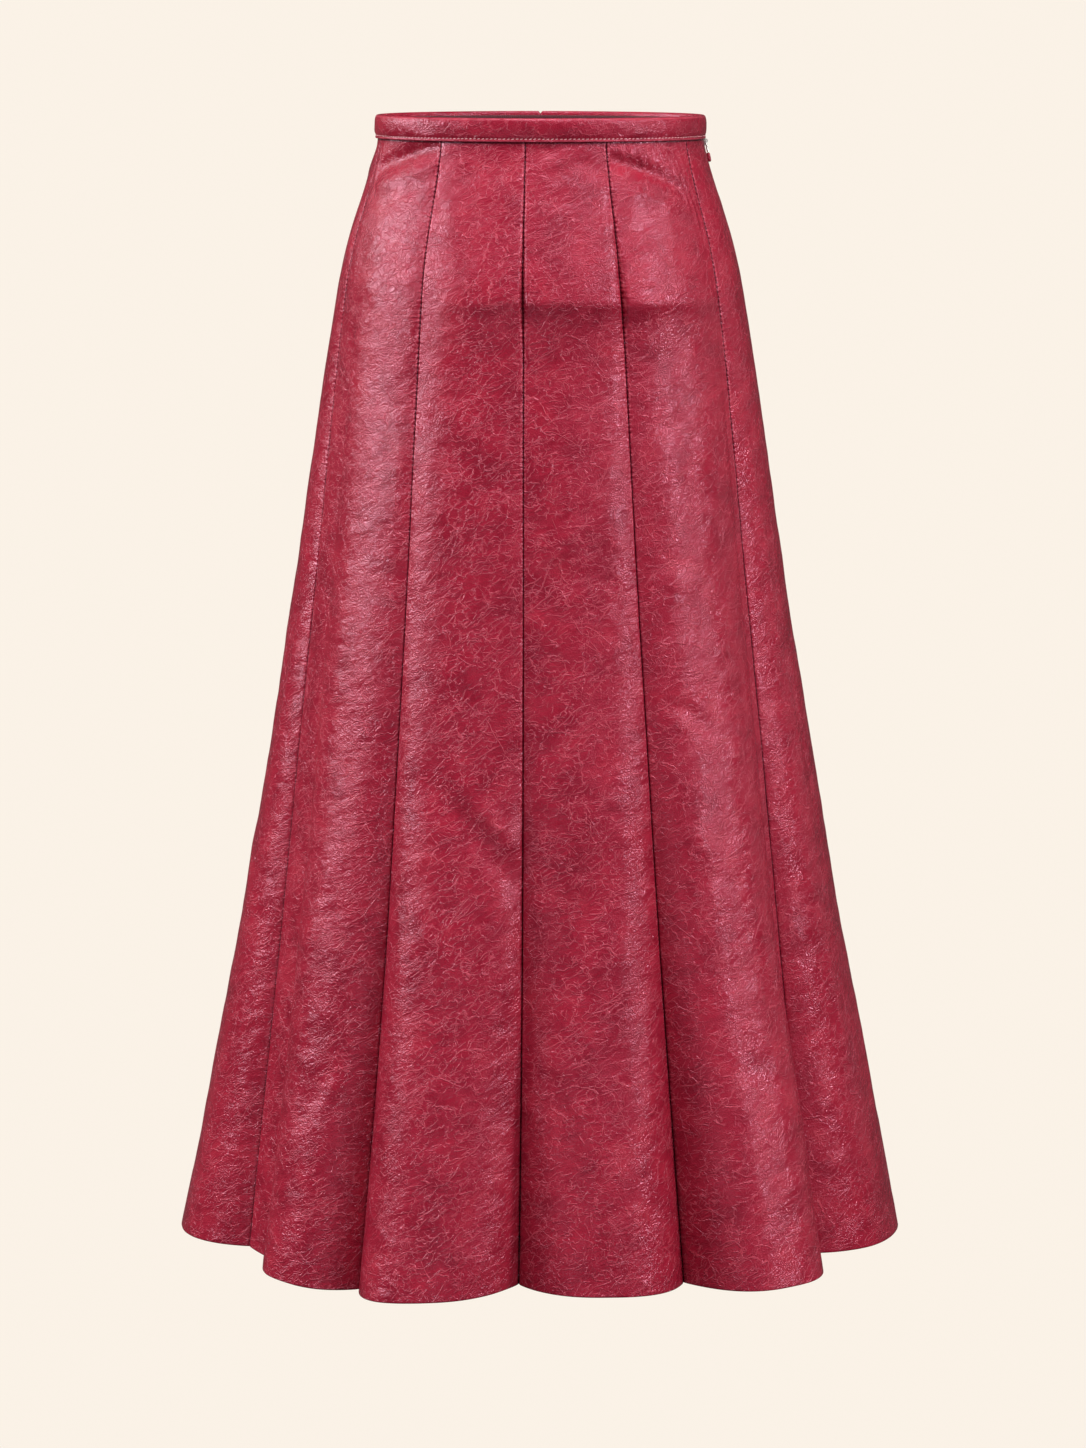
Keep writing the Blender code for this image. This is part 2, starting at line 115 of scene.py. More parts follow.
def put(name, data):
    """A new object in the scene."""
    thing = bpy.data.objects.new(name, data)
    bpy.context.scene.collection.objects.link(thing)
    return thing


def put_facing(name, data, aim, turn, rise, distance):
    """A camera or lamp at a distance from its aim, at a turn from the centre front and a rise."""
    turn, rise = math.radians(turn), math.radians(rise)
    back = Vector((math.sin(turn) * math.cos(rise), -math.cos(turn) * math.cos(rise),
                   math.sin(rise)))
    thing = put(name, data)
    thing.location = aim + back * distance
    thing.rotation_euler = back.to_track_quat("Z", "Y").to_euler()
    return thing


def place_camera():
    turn = math.radians(CAMERA_TURN)
    across, up = CAMERA_AIM
    data = bpy.data.cameras.new("camera")
    data.lens = CAMERA_LENS
    data.sensor_width = 36.0
    data.clip_end = 60.0
    aim = Vector((across * math.cos(turn), across * math.sin(turn), up))
    bpy.context.scene.camera = put_facing("camera", data, aim, CAMERA_TURN, CAMERA_RISE,
                                          CAMERA_DISTANCE)


# lamp, its bearing from the centre front and its rise (degrees), distance, width, height (metres),
# watts
LAMPS = (
    ("left_behind", -115, 24, 3, 0.5, 0.9, 7.5),
    ("left_side", -95, 20, 3, 0.5, 0.75, 17.5),
    ("left_key", -80, 17, 3, 0.5, 0.90, 31),
    ("left_front", -66, 14, 3, 0.4, 0.75, 6),
    ("left_high_side", -88, 38, 3, 1, 0.75, 10),
    ("left_high_key", -65, 38, 3, 0.5, 0.75, 9),
    ("left_high_fill", -48, 38, 3, 0.5, 0.75, 5),
    ("right_low", 38, 6, 3, 0.5, 0.75, 5),
    ("right_key", 66, 18, 3, 0.4, 0.90, 36),
    ("right_high_key", 48, 38, 3, 0.4, 0.75, 12),
    ("right_high_behind", 95, 38, 3, 0.5, 0.75, 9),
    ("right_behind", 115, 3, 3, 0.5, 0.75, 2.5),
    ("front_high", 8, 36, 3.4, 1.6, 0.7, 8),
    ("front_top", 8, 55, 3.4, 1.6, 0.7, 5),
    ("overhead", 0, 74, 7, 4.4, 3.2, 430),
    ("floor_glow", -10, -14, 3.2, 2.6, 0.5, 8),
)
LAMP_AIM = (0.0, 0.0, -0.38)
LAMP_COLOUR = (1.0, 0.99, 0.98)
WORLD_LIGHT = (0.075, 0.075, 0.075)


def place_lamps():
    for name, bearing, rise, distance, width, height, watts in LAMPS:
        data = bpy.data.lights.new(name, "AREA")
        data.shape = "RECTANGLE"
        data.size = width
        data.size_y = height
        data.energy = watts
        data.color = LAMP_COLOUR
        put_facing(name, data, Vector(LAMP_AIM), bearing, rise, distance)
    world = bpy.data.worlds.new("studio")
    bpy.context.scene.world = world
    world.use_nodes = True
    world.node_tree.nodes["Background"].inputs["Color"].default_value = (*WORLD_LIGHT, 1.0)
    bpy.context.scene.view_settings.view_transform = "Standard"


# --- nodes ---

class Nodes:
    """A node tree being put together. A value is a number, a colour or another node's output."""

    def __init__(self, tree, kind):
        self.tree = tree
        self.kind = kind

    def feed(self, socket, value):
        if isinstance(value, bpy.types.NodeSocket):
            self.tree.links.new(value, socket)
        elif value is not None:
            socket.default_value = (*value, 1.0) if socket.type == "RGBA" else value

    def add(self, name, values=(), kind=None, **settings):
        """A node with its settings and the values of its inputs, by name or by number."""
        node = self.tree.nodes.new((kind or self.kind) + name)
        for key, value in settings.items():
            setattr(node, key, value)
        for key, value in dict(values).items():
            self.feed(node.inputs[key], value)
        return node

    def math(self, operation, first, second=0.5):
        values = {0: first, 1: second}
        return self.add("Math", values, "ShaderNode", operation=operation).outputs[0]

    def product(self, first, *others):
        for other in others:
            first = self.math("MULTIPLY", first, other)
        return first

    def total(self, first, *others):
        for other in others:
            first = self.math("ADD", first, other)
        return first

    def less(self, first, second):
        return self.math("SUBTRACT", first, second)

    def apart(self, first, second):
        return self.math("ABSOLUTE", self.less(first, second))

    def vector(self, operation, first, second=None, scale=None):
        values = {0: first, 1: second} if scale is None else {0: first, "Scale": scale}
        return self.add("VectorMath", values, "ShaderNode", operation=operation).outputs[0]

    def noise(self, place, scale, detail=2.0, roughness=0.5, distortion=0.0, out="Fac"):
        values = {"Vector": place, "Scale": scale, "Detail": detail, "Roughness": roughness,
                  "Distortion": distortion}
        return self.add("TexNoise", values).outputs[out]

    def cells(self, place, scale, feature="DISTANCE_TO_EDGE"):
        values = {"Vector": place, "Scale": scale}
        node = self.add("TexVoronoi", values, feature=feature, voronoi_dimensions="2D")
        return node.outputs["Distance"]

    def fade(self, value, low, high, to_low=0.0, to_high=1.0):
        """The value run smoothly from one pair of limits to the other."""
        values = dict(zip(("Value", "From Min", "From Max", "To Min", "To Max"),
                          (value, low, high, to_low, to_high)))
        return self.add("MapRange", values, "ShaderNode",
                        interpolation_type="SMOOTHSTEP").outputs[0]

    def near(self, distance, limits, there=1.0):
        """A value that fades away between two distances in millimetres."""
        return self.fade(distance, limits[0] * MM, limits[1] * MM, there, 0.0)

    def mix(self, share, first, second):
        return self.add("Mix", {0: share, 6: first, 7: second}, data_type="RGBA").outputs[2]


class Finish(Nodes):
    """A material whose colour, roughness and relief are put together from nodes."""

    def __init__(self, name):
        self.material = bpy.data.materials.new(name)
        self.material.use_nodes = True
        super().__init__(self.material.node_tree, "ShaderNode")
        self.shader = self.tree.nodes["Principled BSDF"]

    def set(self, **values):
        for key, value in values.items():
            self.feed(self.shader.inputs[key.replace("_", " ")], value)

    def uv(self, name):
        return self.add("UVMap", uv_map=name).outputs[0]

    def stretch(self, place, size=(1.0, 1.0, 1.0), turn=0.0, shift=(0.0, 0.0, 0.0)):
        """A place for textures that are turned, and drawn out by the size along their own axes."""
        values = {"Vector": place, "Location": shift, "Rotation": (0.0, 0.0, math.radians(turn)),
                  "Scale": size}
        return self.add("Mapping", values, vector_type="TEXTURE").outputs[0]

    def drifted(self, place, flat, scale, detail, reach):
        """A place pushed about by a noise, by up to half the reach, in metres."""
        push = self.noise(flat, scale, detail, out="Color")
        push = self.vector("SUBTRACT", push, (0.5, 0.5, 0.5))
        return self.vector("ADD", place, self.vector("SCALE", push, scale=reach))

    def strokes(self, place, cell, turn, spread, length, half_width, sag, seed):
        """Bowed strokes, one to a cell of the size given: 1 on its line, 0 away from it."""
        size = (*(side * MM for side in cell), 1.0)
        lie = self.stretch(place, size, turn, (0.37 * seed, 0.23 * seed, 0.0))
        cells = self.add("TexVoronoi", {"Vector": lie, "Scale": 1.0}, voronoi_dimensions="2D")
        chance = self.add("SeparateColor", {0: cells.outputs["Color"]}).outputs
        local = self.vector("SUBTRACT", lie, cells.outputs["Position"])
        local = self.vector("MULTIPLY", local, size)
        swing = self.product(self.less(chance[0], 0.5), math.radians(spread))
        local = self.add("VectorRotate", {"Vector": local, "Angle": swing}, rotation_type="Z_AXIS")
        x, y, _ = self.add("SeparateXYZ", {0: local.outputs[0]}).outputs
        bend = self.product(self.less(chance[1], 0.5), 8.0 * sag / length**2 / MM)
        aside = self.apart(y, self.product(x, x, bend))
        across = self.near(aside, (0.3 * half_width, half_width))
        reach = self.near(self.math("ABSOLUTE", x), (0.25 * length, 0.5 * length))
        return self.product(across, reach, self.fade(chance[2], 0.15, 0.75))

    def relief(self, height, distance, strength=1.0, below=None):
        """Bumps over those below: a height from 0 to 1 stands for the distance, in metres."""
        values = {"Height": height, "Distance": distance, "Strength": strength, "Normal": below}
        return self.add("Bump", values).outputs[0]


# --- finishes ---

LEATHER_DARK = (0.250, 0.0080, 0.024)
LEATHER_MID = (0.316, 0.0120, 0.032)
LEATHER_LIGHT = (0.382, 0.0190, 0.041)
# pale wear of the creases and of the band's lip; the same colour paints the highlight beside the
# seams and on the band's top edge
LEATHER_WEAR_AND_HIGHLIGHT = (0.66, 0.100, 0.145)
# the colour of the painted shade in the seams' grooves and stitch holes, and under the waistband
PAINTED_SHADE = (0.045, 0.002, 0.007)
SHEEN_TINT = (1.0, 0.52, 0.72)
PUCKERED = (150.0, 330.0)  # drops down to which the seams pucker strongly, and a little
# distances from a seam (mm) over which each of its marks fades away: the painted shade in its
# groove, the stitch holes, the painted highlight beside it and the gathers
SEAM_SHADE_LINE = (0.2, 0.6)
SEAM_HOLES = (0.6, 1.3)
SEAM_RIM_HIGHLIGHT = ((0.6, 1.1), (1.4, 2.4))       # it comes and goes
SEAM_GATHERS = (1.0, 6.0)
# painted shadow under the waistband's lip:
BAND_SHADE = (9.2, 10.6)  # the same for the dark line under the waistband, by drop
# The seam map says how far a point is from its seam, and its drop. These are its values where
# there is no seam, and where the waistband starts on it.
SEAMLESS = 900.0
BAND_PLACE = 1000.0
# pale edges of the band: a painted highlight on its rounded top edge, and wear on its lip
BAND_WEAR_AND_HIGHLIGHT_EDGES = ((BAND_PLACE + 18.3, 1.1), (BAND_PLACE + 2.1, 0.7))

# The hairline creases, in sets: length and width of the cells that hold one each (mm), turn and
# spread of its direction (degrees), its length, half width and sag (mm), size of the patches a set
# comes in (mm), where a patch starts (more is fewer of them) and how marked its creases are.
CREASE_SETS = (
    (15, 6, 38, 40, 16, 0.52, 2.6, 40, 0.46, 1.00),
    (12, 5, 12, 50, 12, 0.48, 2.2, 34, 0.48, 0.90),
    (7, 3, 55, 80, 7.5, 0.42, 1.4, 22, 0.46, 0.80),
    (44, 15, 44, 40, 50, 0.56, 7, 60, 0.46, 1.00),
    (38, 16, -46, 50, 40, 0.52, 7, 60, 0.50, 0.90),
)
# The branching nets of creases between them: size of the meshes (mm), how much longer than wide
# they are, turn (degrees), half width of a crease (mm), size of the patches (mm), where a patch
# starts and how marked the creases are.
CREASE_NETS = (
    (14, 1.9, 36, 0.50, 38, 0.42, 1.00),
    (8, 1.7, 16, 0.44, 26, 0.43, 0.90),
    (5, 1.5, -36, 0.38, 20, 0.44, 0.75),
)

# how much each kind of relief stands out, in millimetres of height
RELIEF = {"folds": 1.2, "wrinkles": 0.68, "pulls": 0.20, "creases": 0.34, "gathers": 0.30,
          "holes": 0.35}


def leather_finish(name, creased=1.0, wear_and_highlight_edges=()):
    """Glazed red leather: mottled colour, pale broken creases of all sizes and a pebble grain.

    wear_and_highlight_edges has the places of pale edges on the seam map, with wear and with a
    painted highlight, and their half widths, in millimetres.
    """
    f = Finish(name)
    flat = f.uv("hide")
    warped = f.drifted(flat, flat, 40.0, 2.0, 0.009)
    curled = f.drifted(warped, flat, 260.0, 1.0, 0.0048)

    def patches(shift, size, there_from, softly, marked, *noise):
        there = f.noise(f.stretch(flat, shift=shift), 1000.0 / size, *noise)
        return f.fade(there, there_from, there_from + softly, 0.0, marked)

    lines = 0.0
    for seed, row in enumerate(CREASE_SETS):
        cell, (turn, spread, length, half_width, sag, patch, there_from, marked) = row[:2], row[2:]
        line = f.strokes(warped, cell, turn, spread, length, half_width, sag, seed + 1)
        there = patches((0.1 * seed, 0.7, 0.0), patch, there_from, 0.12, marked, 2.0)
        lines = f.math("MAXIMUM", lines, f.product(line, there))
    unbroken = f.fade(f.noise(flat, 170.0, 1.0), 0.38, 0.50)
    for seed, row in enumerate(CREASE_NETS):
        mesh, longer, turn, half_width, patch, there_from, marked = row
        edge = f.cells(f.stretch(curled, (longer, 1.0, 1.0), turn), 1.0 / (mesh * MM))
        net = f.fade(edge, 0.25 * half_width / mesh, half_width / mesh, 1.0, 0.0)
        there = patches((0.3, 0.1 * seed, 0.0), patch, there_from, 0.10, marked, 3.0, 0.6)
        lines = f.math("MAXIMUM", lines, f.product(net, unbroken, there))

    # colour: darker and paler clouds, and paler creases from wear
    clouds = f.noise(warped, 40.0, 5.0, 0.62)
    broad = f.noise(flat, 12.0, 2.0)
    tone = f.total(f.product(clouds, 0.7), f.product(broad, 0.3))
    colour = f.mix(f.fade(tone, 0.38, 0.52), LEATHER_DARK, LEATHER_MID)
    colour = f.mix(f.fade(tone, 0.50, 0.66), colour, LEATHER_LIGHT)
    colour = f.mix(f.product(lines, 0.42 * creased), colour, LEATHER_WEAR_AND_HIGHLIGHT)

    # relief: raised creases on soft folds, with fine wrinkles and the grain over them
    folds = f.noise(f.stretch(warped, (1.8, 1.0, 1.0), 30.0), 70.0, 1.0, 0.4)
    wrinkles = f.noise(f.stretch(warped, (2.6, 1.0, 1.0), 20.0), 210.0, 2.0, 0.5, 0.4)
    wrinkled = f.noise(f.stretch(flat, shift=(0.5, 0.2, 0.0)), 26.0, 2.0)
    wrinkled = f.fade(wrinkled, 0.35, 0.62, 0.75, 1.0)
    pulls = f.noise(f.stretch(warped, (3.0, 1.0, 1.0), 38.0), 400.0, 1.0)
    height = f.total(f.product(wrinkles, RELIEF["wrinkles"] * creased, wrinkled),
                     f.product(pulls, RELIEF["pulls"] * creased),
                     f.product(folds, RELIEF["folds"] * creased),
                     f.product(lines, RELIEF["creases"] * creased))

    # the seams: a dark line of painted shade in their groove and stitch holes, a painted highlight
    # beside them, and puckers where the stitches pull
    from_seam, drop, _ = f.add("SeparateXYZ", {0: f.uv("seam")}).outputs
    between = f.apart(f.math("FRACT", f.math("DIVIDE", drop, SEAM_PITCH * MM)), 0.5)
    pulled = f.fade(drop, PUCKERED[0] * MM, PUCKERED[1] * MM, 1.0, 0.25)
    hole = f.product(f.fade(between, 0.08, 0.26, 1.0, 0.0), f.near(from_seam, SEAM_HOLES), pulled)
    # a painted highlight on the leather beside the seam, broken up and left out at the holes
    rim_highlight = f.product(f.less(1.0, f.near(from_seam, SEAM_RIM_HIGHLIGHT[0])), f.near(from_seam, SEAM_RIM_HIGHLIGHT[1]),
                    f.fade(f.noise(flat, 150.0, 2.0), 0.40, 0.62), f.less(1.0, hole))
    colour = f.mix(f.product(rim_highlight, f.product(pulled, 0.6)), colour, LEATHER_WEAR_AND_HIGHLIGHT)
    # pale edges: on the band, a painted highlight on its top edge and wear on its lip
    for place, half_width in wear_and_highlight_edges:
        off_edge = f.apart(drop, place * MM)
        edge_wear_and_highlight = f.product(f.near(off_edge, (0.3 * half_width, half_width), 0.35),
                         f.fade(f.noise(flat, 120.0, 2.0), 0.3, 0.6, 0.35, 1.0))
        colour = f.mix(edge_wear_and_highlight, colour, LEATHER_WEAR_AND_HIGHLIGHT)
    # painted shade: a dark line in the seam's groove, darker stitch holes and a painted shadow
    # under the waistband's lip
    line = f.math("MAXIMUM", f.near(from_seam, SEAM_SHADE_LINE, 0.9), f.product(hole, 0.45))
    line = f.math("MAXIMUM", line, f.near(drop, BAND_SHADE, 0.9))
    colour = f.mix(line, colour, PAINTED_SHADE)
    gathered = f.product(f.fade(between, 0.05, 0.45), f.near(from_seam, SEAM_GATHERS),
                         f.fade(f.noise(flat, 110.0, 2.0), 0.35, 0.65), pulled)
    height = f.total(height, f.product(gathered, RELIEF["gathers"]))
    height = f.less(height, f.product(hole, RELIEF["holes"]))
    grain = f.cells(f.stretch(warped, (1.3, 1.0, 1.0), 30.0), 950.0, "F1")
    f.set(Base_Color=colour, Normal=f.relief(grain, 0.00018, 1.0, f.relief(height, MM, 1.0)),
          Roughness=f.fade(f.noise(flat, 55.0, 3.0), 0.3, 0.7, 0.15, 0.24),
          IOR=1.56, Specular_Tint=SHEEN_TINT)
    return f.material


def flesh_finish(name):
    """The leather's unglazed inner side: a short dusty nap."""
    f = Finish(name)
    flat = f.uv("hide")
    nap = f.noise(flat, 420.0, 5.0, 0.7)
    colour = f.mix(f.fade(f.noise(flat, 17.0, 4.0), 0.35, 0.65), (0.18, 0.022, 0.035),
                   (0.27, 0.045, 0.062))
    colour = f.mix(f.fade(nap, 0.4, 0.7, 0.0, 0.35), colour, (0.40, 0.12, 0.14))
    f.set(Base_Color=colour, Roughness=0.92, Normal=f.relief(nap, 0.0004, 0.7))
    f.set(Sheen_Weight=0.25, Sheen_Roughness=0.5)
    return f.material


def ribbon_finish(name):
    """Dark ribbed ribbon: each rib is a bundle of fine warp threads."""
    f = Finish(name)
    flat = f.uv("hide")
    threads = f.noise(f.stretch(flat, (9.0, 1.0, 1.0)), 8000.0, 2.0)
    colour = f.mix(f.fade(threads, 0.35, 0.65), (0.040, 0.003, 0.007),
                   (0.12, 0.012, 0.022))
    f.set(Base_Color=colour, Roughness=0.72, Normal=f.relief(threads, 0.00012, 0.8))
    f.set(Sheen_Weight=0.3, Sheen_Roughness=0.4)
    return f.material


def weave_finish(name):
    """Dark red twill of the zip's tape."""
    f = Finish(name)
    flat = f.uv("hide")
    slant = f.stretch(flat, turn=58.0)
    twill = f.add("TexWave", {"Vector": slant, "Scale": 420.0, "Distortion": 1.2, "Detail": 2.0,
                              "Detail Scale": 3.0}).outputs["Fac"]
    yarn = f.noise(flat, 1500.0, 2.0)
    colour = f.mix(twill, (0.075, 0.006, 0.014), (0.19, 0.018, 0.036))
    colour = f.mix(f.fade(yarn, 0.4, 0.7, 0.0, 0.4), colour, (0.24, 0.04, 0.06))
    f.set(Base_Color=colour, Roughness=0.8, Normal=f.relief(twill, 0.00015, 0.8))
    return f.material


def thread_finish(name, dark, light):
    """Twisted polyester thread."""
    f = Finish(name)
    place = f.add("TexCoord").outputs["Object"]
    twist = f.noise(place, 2600.0, 2.0)
    colour = f.mix(f.fade(twist, 0.35, 0.65), dark, light)
    f.set(Base_Color=colour, Roughness=0.45, Normal=f.relief(twist, 0.00008, 0.6))
    f.set(Sheen_Weight=0.2)
    return f.material


def metal_finish(name):
    """Bright nickel with fine tumbling marks."""
    f = Finish(name)
    place = f.add("TexCoord").outputs["Object"]
    marks = f.noise(f.stretch(place, (6.0, 6.0, 1.0)), 8400.0, 3.0, 0.6)
    cloud = f.noise(place, 260.0, 2.0)
    colour = f.mix(f.fade(cloud, 0.35, 0.7), (0.62, 0.60, 0.58), (0.78, 0.76, 0.74))
    f.set(Base_Color=colour, Metallic=1.0, Roughness=f.fade(marks, 0.3, 0.7, 0.18, 0.36),
          Normal=f.relief(marks, 0.00003, 0.5))
    return f.material


# --- the leather's surface, in millimetres ---

def between_rows(table, at):
    """A table's values at places of its first column, smooth between its rows."""
    places, values = table[:, 0], table[:, 1:]
    slopes = np.gradient(values, places, axis=0)
    i = np.clip(np.searchsorted(places, at, side="right") - 1, 0, len(places) - 2)
    gap = (places[i + 1] - places[i])[..., None]
    u = (at - places[i])[..., None] / gap
    start = (2 * u**3 - 3 * u**2 + 1) * values[i] + (u**3 - 2 * u**2 + u) * gap * slopes[i]
    end = (3 * u**2 - 2 * u**3) * values[i + 1] + (u**3 - u**2) * gap * slopes[i + 1]
    return np.moveaxis(start + end, -1, 0)


def section_at(drop):
    """Half width, front depth, back depth and flute share at each drop."""
    return between_rows(SECTIONS, drop)


def seam_angle(seam, drop):
    waist, bow, hem, _ = SEAMS[seam]
    share = np.clip(drop / HEM_DROP, 0.0, 1.0)
    return np.radians(waist + (hem - waist) * share + bow * 4 * share * (1 - share))


def ellipse_frame(angle, drop):
    """Points of the sections without flutes, the ways along them and the ways outwards."""
    half_width, front, back, _ = section_at(drop)
    depth = np.where(np.cos(angle) > 0, front, back)
    nothing = np.zeros_like(angle * drop)
    point = np.stack([half_width * np.sin(angle), -depth * np.cos(angle), nothing - drop], -1)
    along = np.stack([half_width * np.cos(angle), depth * np.sin(angle), nothing], -1)
    along /= np.linalg.norm(along, axis=-1, keepdims=True)
    outward = np.stack([along[..., 1], -along[..., 0], nothing], -1)
    return point, along, outward


def gore_point(gore, share, drop):
    """Points of a gore's outer surface: share 0 is its first seam and 1 its second."""
    share, drop = np.broadcast_arrays(np.asarray(share, float), np.asarray(drop, float))
    _, flute, flat_first, flat_last = GORES[gore]
    angle = (1 - share) * seam_angle(gore, drop) + share * seam_angle(gore + 1, drop)
    point, _, outward = ellipse_frame(angle, drop)
    place = np.clip((share - flat_first) / (1.0 - flat_first - flat_last), 0.0, 1.0)
    roundness = np.interp(drop, *zip(*FLUTE_ROUNDNESS))
    eased = 1.0 if gore in SIDE_GORES else np.interp(drop, *zip(*FLUTE_EASE))
    bulge = flute * eased * section_at(drop)[3] * (1.0 - np.abs(2.0 * place - 1.0) ** roundness)
    point = point + outward * bulge[..., None]
    lower = (1 - share) * SEAMS[gore][3] + share * SEAMS[gore + 1][3]
    point[..., 2] -= lower * drop / HEM_DROP
    return point


def gore_width(gore, drop):
    """Width of the gore along the section, without its flute."""
    first, last = seam_angle(gore, drop), seam_angle(gore + 1, drop)
    points = [ellipse_frame(angle, drop)[0] for angle in (first, 0.5 * (first + last), last)]
    return (np.linalg.norm(points[1] - points[0], axis=-1)
            + np.linalg.norm(points[2] - points[1], axis=-1))


def seam_gap(seam, drop):
    opened = (seam == ZIP_SEAM) & (drop >= ZIP_OPENING[0]) & (drop <= ZIP_OPENING[1])
    return np.where(opened, ZIP_GAP, SEAM_GAP)


# --- creases and waves of the leather ---

def smooth(value, low, high):
    u = np.clip((value - low) / (high - low), 0.0, 1.0)
    return u * u * (3 - 2 * u)


def waves(across, down, cell, seed):
    """Soft uneven ground between -1 and 1, with hills about one cell across."""
    heights = np.random.default_rng(seed).uniform(-1.0, 1.0, (64, 64))
    x, y = across / cell, down / cell
    i, j = np.floor(x).astype(int), np.floor(y).astype(int)
    u, v = smooth(x - i, 0.0, 1.0), smooth(y - j, 0.0, 1.0)

    def corner(di, dj):
        return heights[(i + di) % 64, (j + dj) % 64]

    low = corner(0, 0) * (1 - u) + corner(1, 0) * u
    high = corner(0, 1) * (1 - u) + corner(1, 1) * u
    return low * (1 - v) + high * v


# Main creases of each gore: from (share, drop), to (share, drop), bow to one side,
# half width and height; a height below 0 is a trough.
CREASES = {
    "back_left": (
        (0.1, 36, 0.75, 14, 3, 4.4, -1.4), (0.15, 50, 0.9, 30, 3, 6, 0.8),
        (0.2, 260, 0.7, 215, 5, 8, -0.8), (0.35, 480, 0.85, 560, 5, 5, -1.2),
        (0.45, 690, 0.38, 800, 4, 7, 0.9),
    ),
    "side_back_left": (
        (0.15, 14, 0.85, 34, 2, 4, -1.2), (0.2, 120, 0.9, 96, 4, 8, 0.8),
        (0.3, 410, 0.8, 470, 5, 6, -1), (0.7, 600, 0.35, 700, 5, 8, 0.9),
    ),
    "side_left": (
        (0.1, 30, 0.7, 12, 2, 4, -1.2), (0.15, 44, 0.85, 24, 2, 5, 0.8),
        (0.8, 330, 0.62, 480, 4, 5, -0.8), (0.4, 520, 0.75, 610, 6, 8, 0.9),
        (0.3, 690, 0.52, 800, 4, 7, -0.9),
    ),
    "side_front_left": (
        (0.1, 33, 1.02, 11, 1, 6.2, -5.4), (0.2, 47, 1.08, 25, 1.5, 5, 2.2),
        (0.4, 60, 1, 39, 2, 3.4, -1), (0.45, 64, 1, 42, 3, 5, 0.6), (0.4, 90, 0.95, 66, 3, 4, -0.4),
        (0.62, 520, 0.4, 610, 5, 9, 1.1), (0.85, 640, 0.55, 730, 5, 9, -1.5),
    ),
    "front_left": (
        (-0.1, 17, 0.42, 13, 0, 5, 0.6), (0.1, 47, 0.92, 20, 4, 7, -0.9),
        (0.2, 30, 0.27, 84, 0, 6, 0.5), (0.38, 99, 0.78, 75, 3, 8, -0.7),
        (0.18, 147, 0.6, 141, 1, 2.4, 0.4), (0.24, 458, 1.04, 557, 3, 9, -3),
        (0.56, 470, 1.02, 528, 2, 6, 1.3), (0.92, 620, 0.8, 805, 2, 11, -2.6),
        (0.66, 640, 0.56, 805, 3, 10, 1.4), (0.25, 560, 0.62, 625, 5, 8, 1),
        (0.3, 225, 0.85, 268, 5, 11, -1.2),
    ),
    "front_right": (
        (-0.05, 23, 0.46, 9, 1, 3.6, -0.8), (-0.02, 34, 0.98, 12, 3, 4.6, 0.9),
        (0.48, 21, 1.1, 36, 1, 5, -0.9), (0.2, 78, 1, 76, 2, 5, -0.5),
        (0.42, 690, 0.5, 810, 4, 10, 1.5), (0.2, 676, 0.33, 806, 5, 9, -2.6),
        (0.62, 500, 0.02, 705, -6, 17, -3.6), (0.84, 540, 0.42, 690, -5, 13, 1.6),
        (0.17, 312, 0.48, 276, -5, 7, 1.2), (0.3, 330, 0.62, 292, -5, 9, -1.2),
        (0.8, 800, 0.98, 768, 2, 8, 1),
    ),
    "side_front_right": (
        # under the band
        (-0.1, 17, 0.62, 15, 1, 3.8, 0.8), (-0.12, 19, 0.8, 45, 2.5, 5.2, -4.4),
        (-0.05, 44, 0.82, 60, 2, 7, 1.6), (-0.08, 77, 0.38, 76, 1, 6, -0.8),
        (0.5, 55, 0.44, 100, 2, 6, 0.6),
        # gathers that hang from it
        (0.08, 5, 0.18, 30, 1.5, 1.3, 0.8), (0.15, 5, 0.29, 31, 2, 1.2, 0.7),
        (0.22, 5, 0.39, 36, 2.5, 1.3, 0.85), (0.3, 5, 0.5, 40, 3, 1.3, 0.75),
        (0.38, 5, 0.6, 46, 3.5, 1.5, 0.95), (0.47, 5, 0.7, 52, 4, 1.4, 0.85),
        (0.56, 5, 0.79, 66, 4.5, 1.6, 0.9), (0.66, 5, 0.87, 86, 5, 1.6, 0.75),
        (0.77, 5, 0.93, 108, 6, 1.8, 0.65),
        # lower down
        (0.1, 410, 0.45, 440, 3, 6.5, -1.6), (0.55, 290, 0.12, 350, 5, 9, 1.1),
        (0.22, 500, 0.3, 535, 2, 8, 1), (0.55, 600, 0.66, 700, 4, 8, -1.5),
    ),
    "side_right": (
        (0.08, 20, 0.75, 38, 2, 4.4, -1.2), (0.06, 44, 0.8, 58, 2, 6, 0.8),
        (0.14, 210, 0.24, 400, 3, 4, 0.8), (0.3, 380, 0.42, 560, 4, 5, -0.8),
        (0.24, 560, 0.3, 720, 3, 4.5, 0.8), (0.6, 640, 0.5, 790, 4, 7, 0.8),
    ),
    "side_back_right": (
        (0.1, 30, 0.8, 14, 2, 4, -1.2), (0.15, 150, 0.85, 120, 4, 8, 0.8),
        (0.75, 440, 0.25, 520, 5, 6, -1), (0.4, 660, 0.55, 780, 4, 8, 0.9),
    ),
    "back_right": (
        (0.15, 16, 0.9, 38, 3, 4.4, -1.5), (0.1, 34, 0.85, 52, 3, 6, 0.9),
        (0.7, 330, 0.2, 385, 5, 7, 0.8), (0.25, 520, 0.8, 470, -5, 6, -1),
        (0.6, 640, 0.66, 780, 5, 7, -0.9),
    ),
}

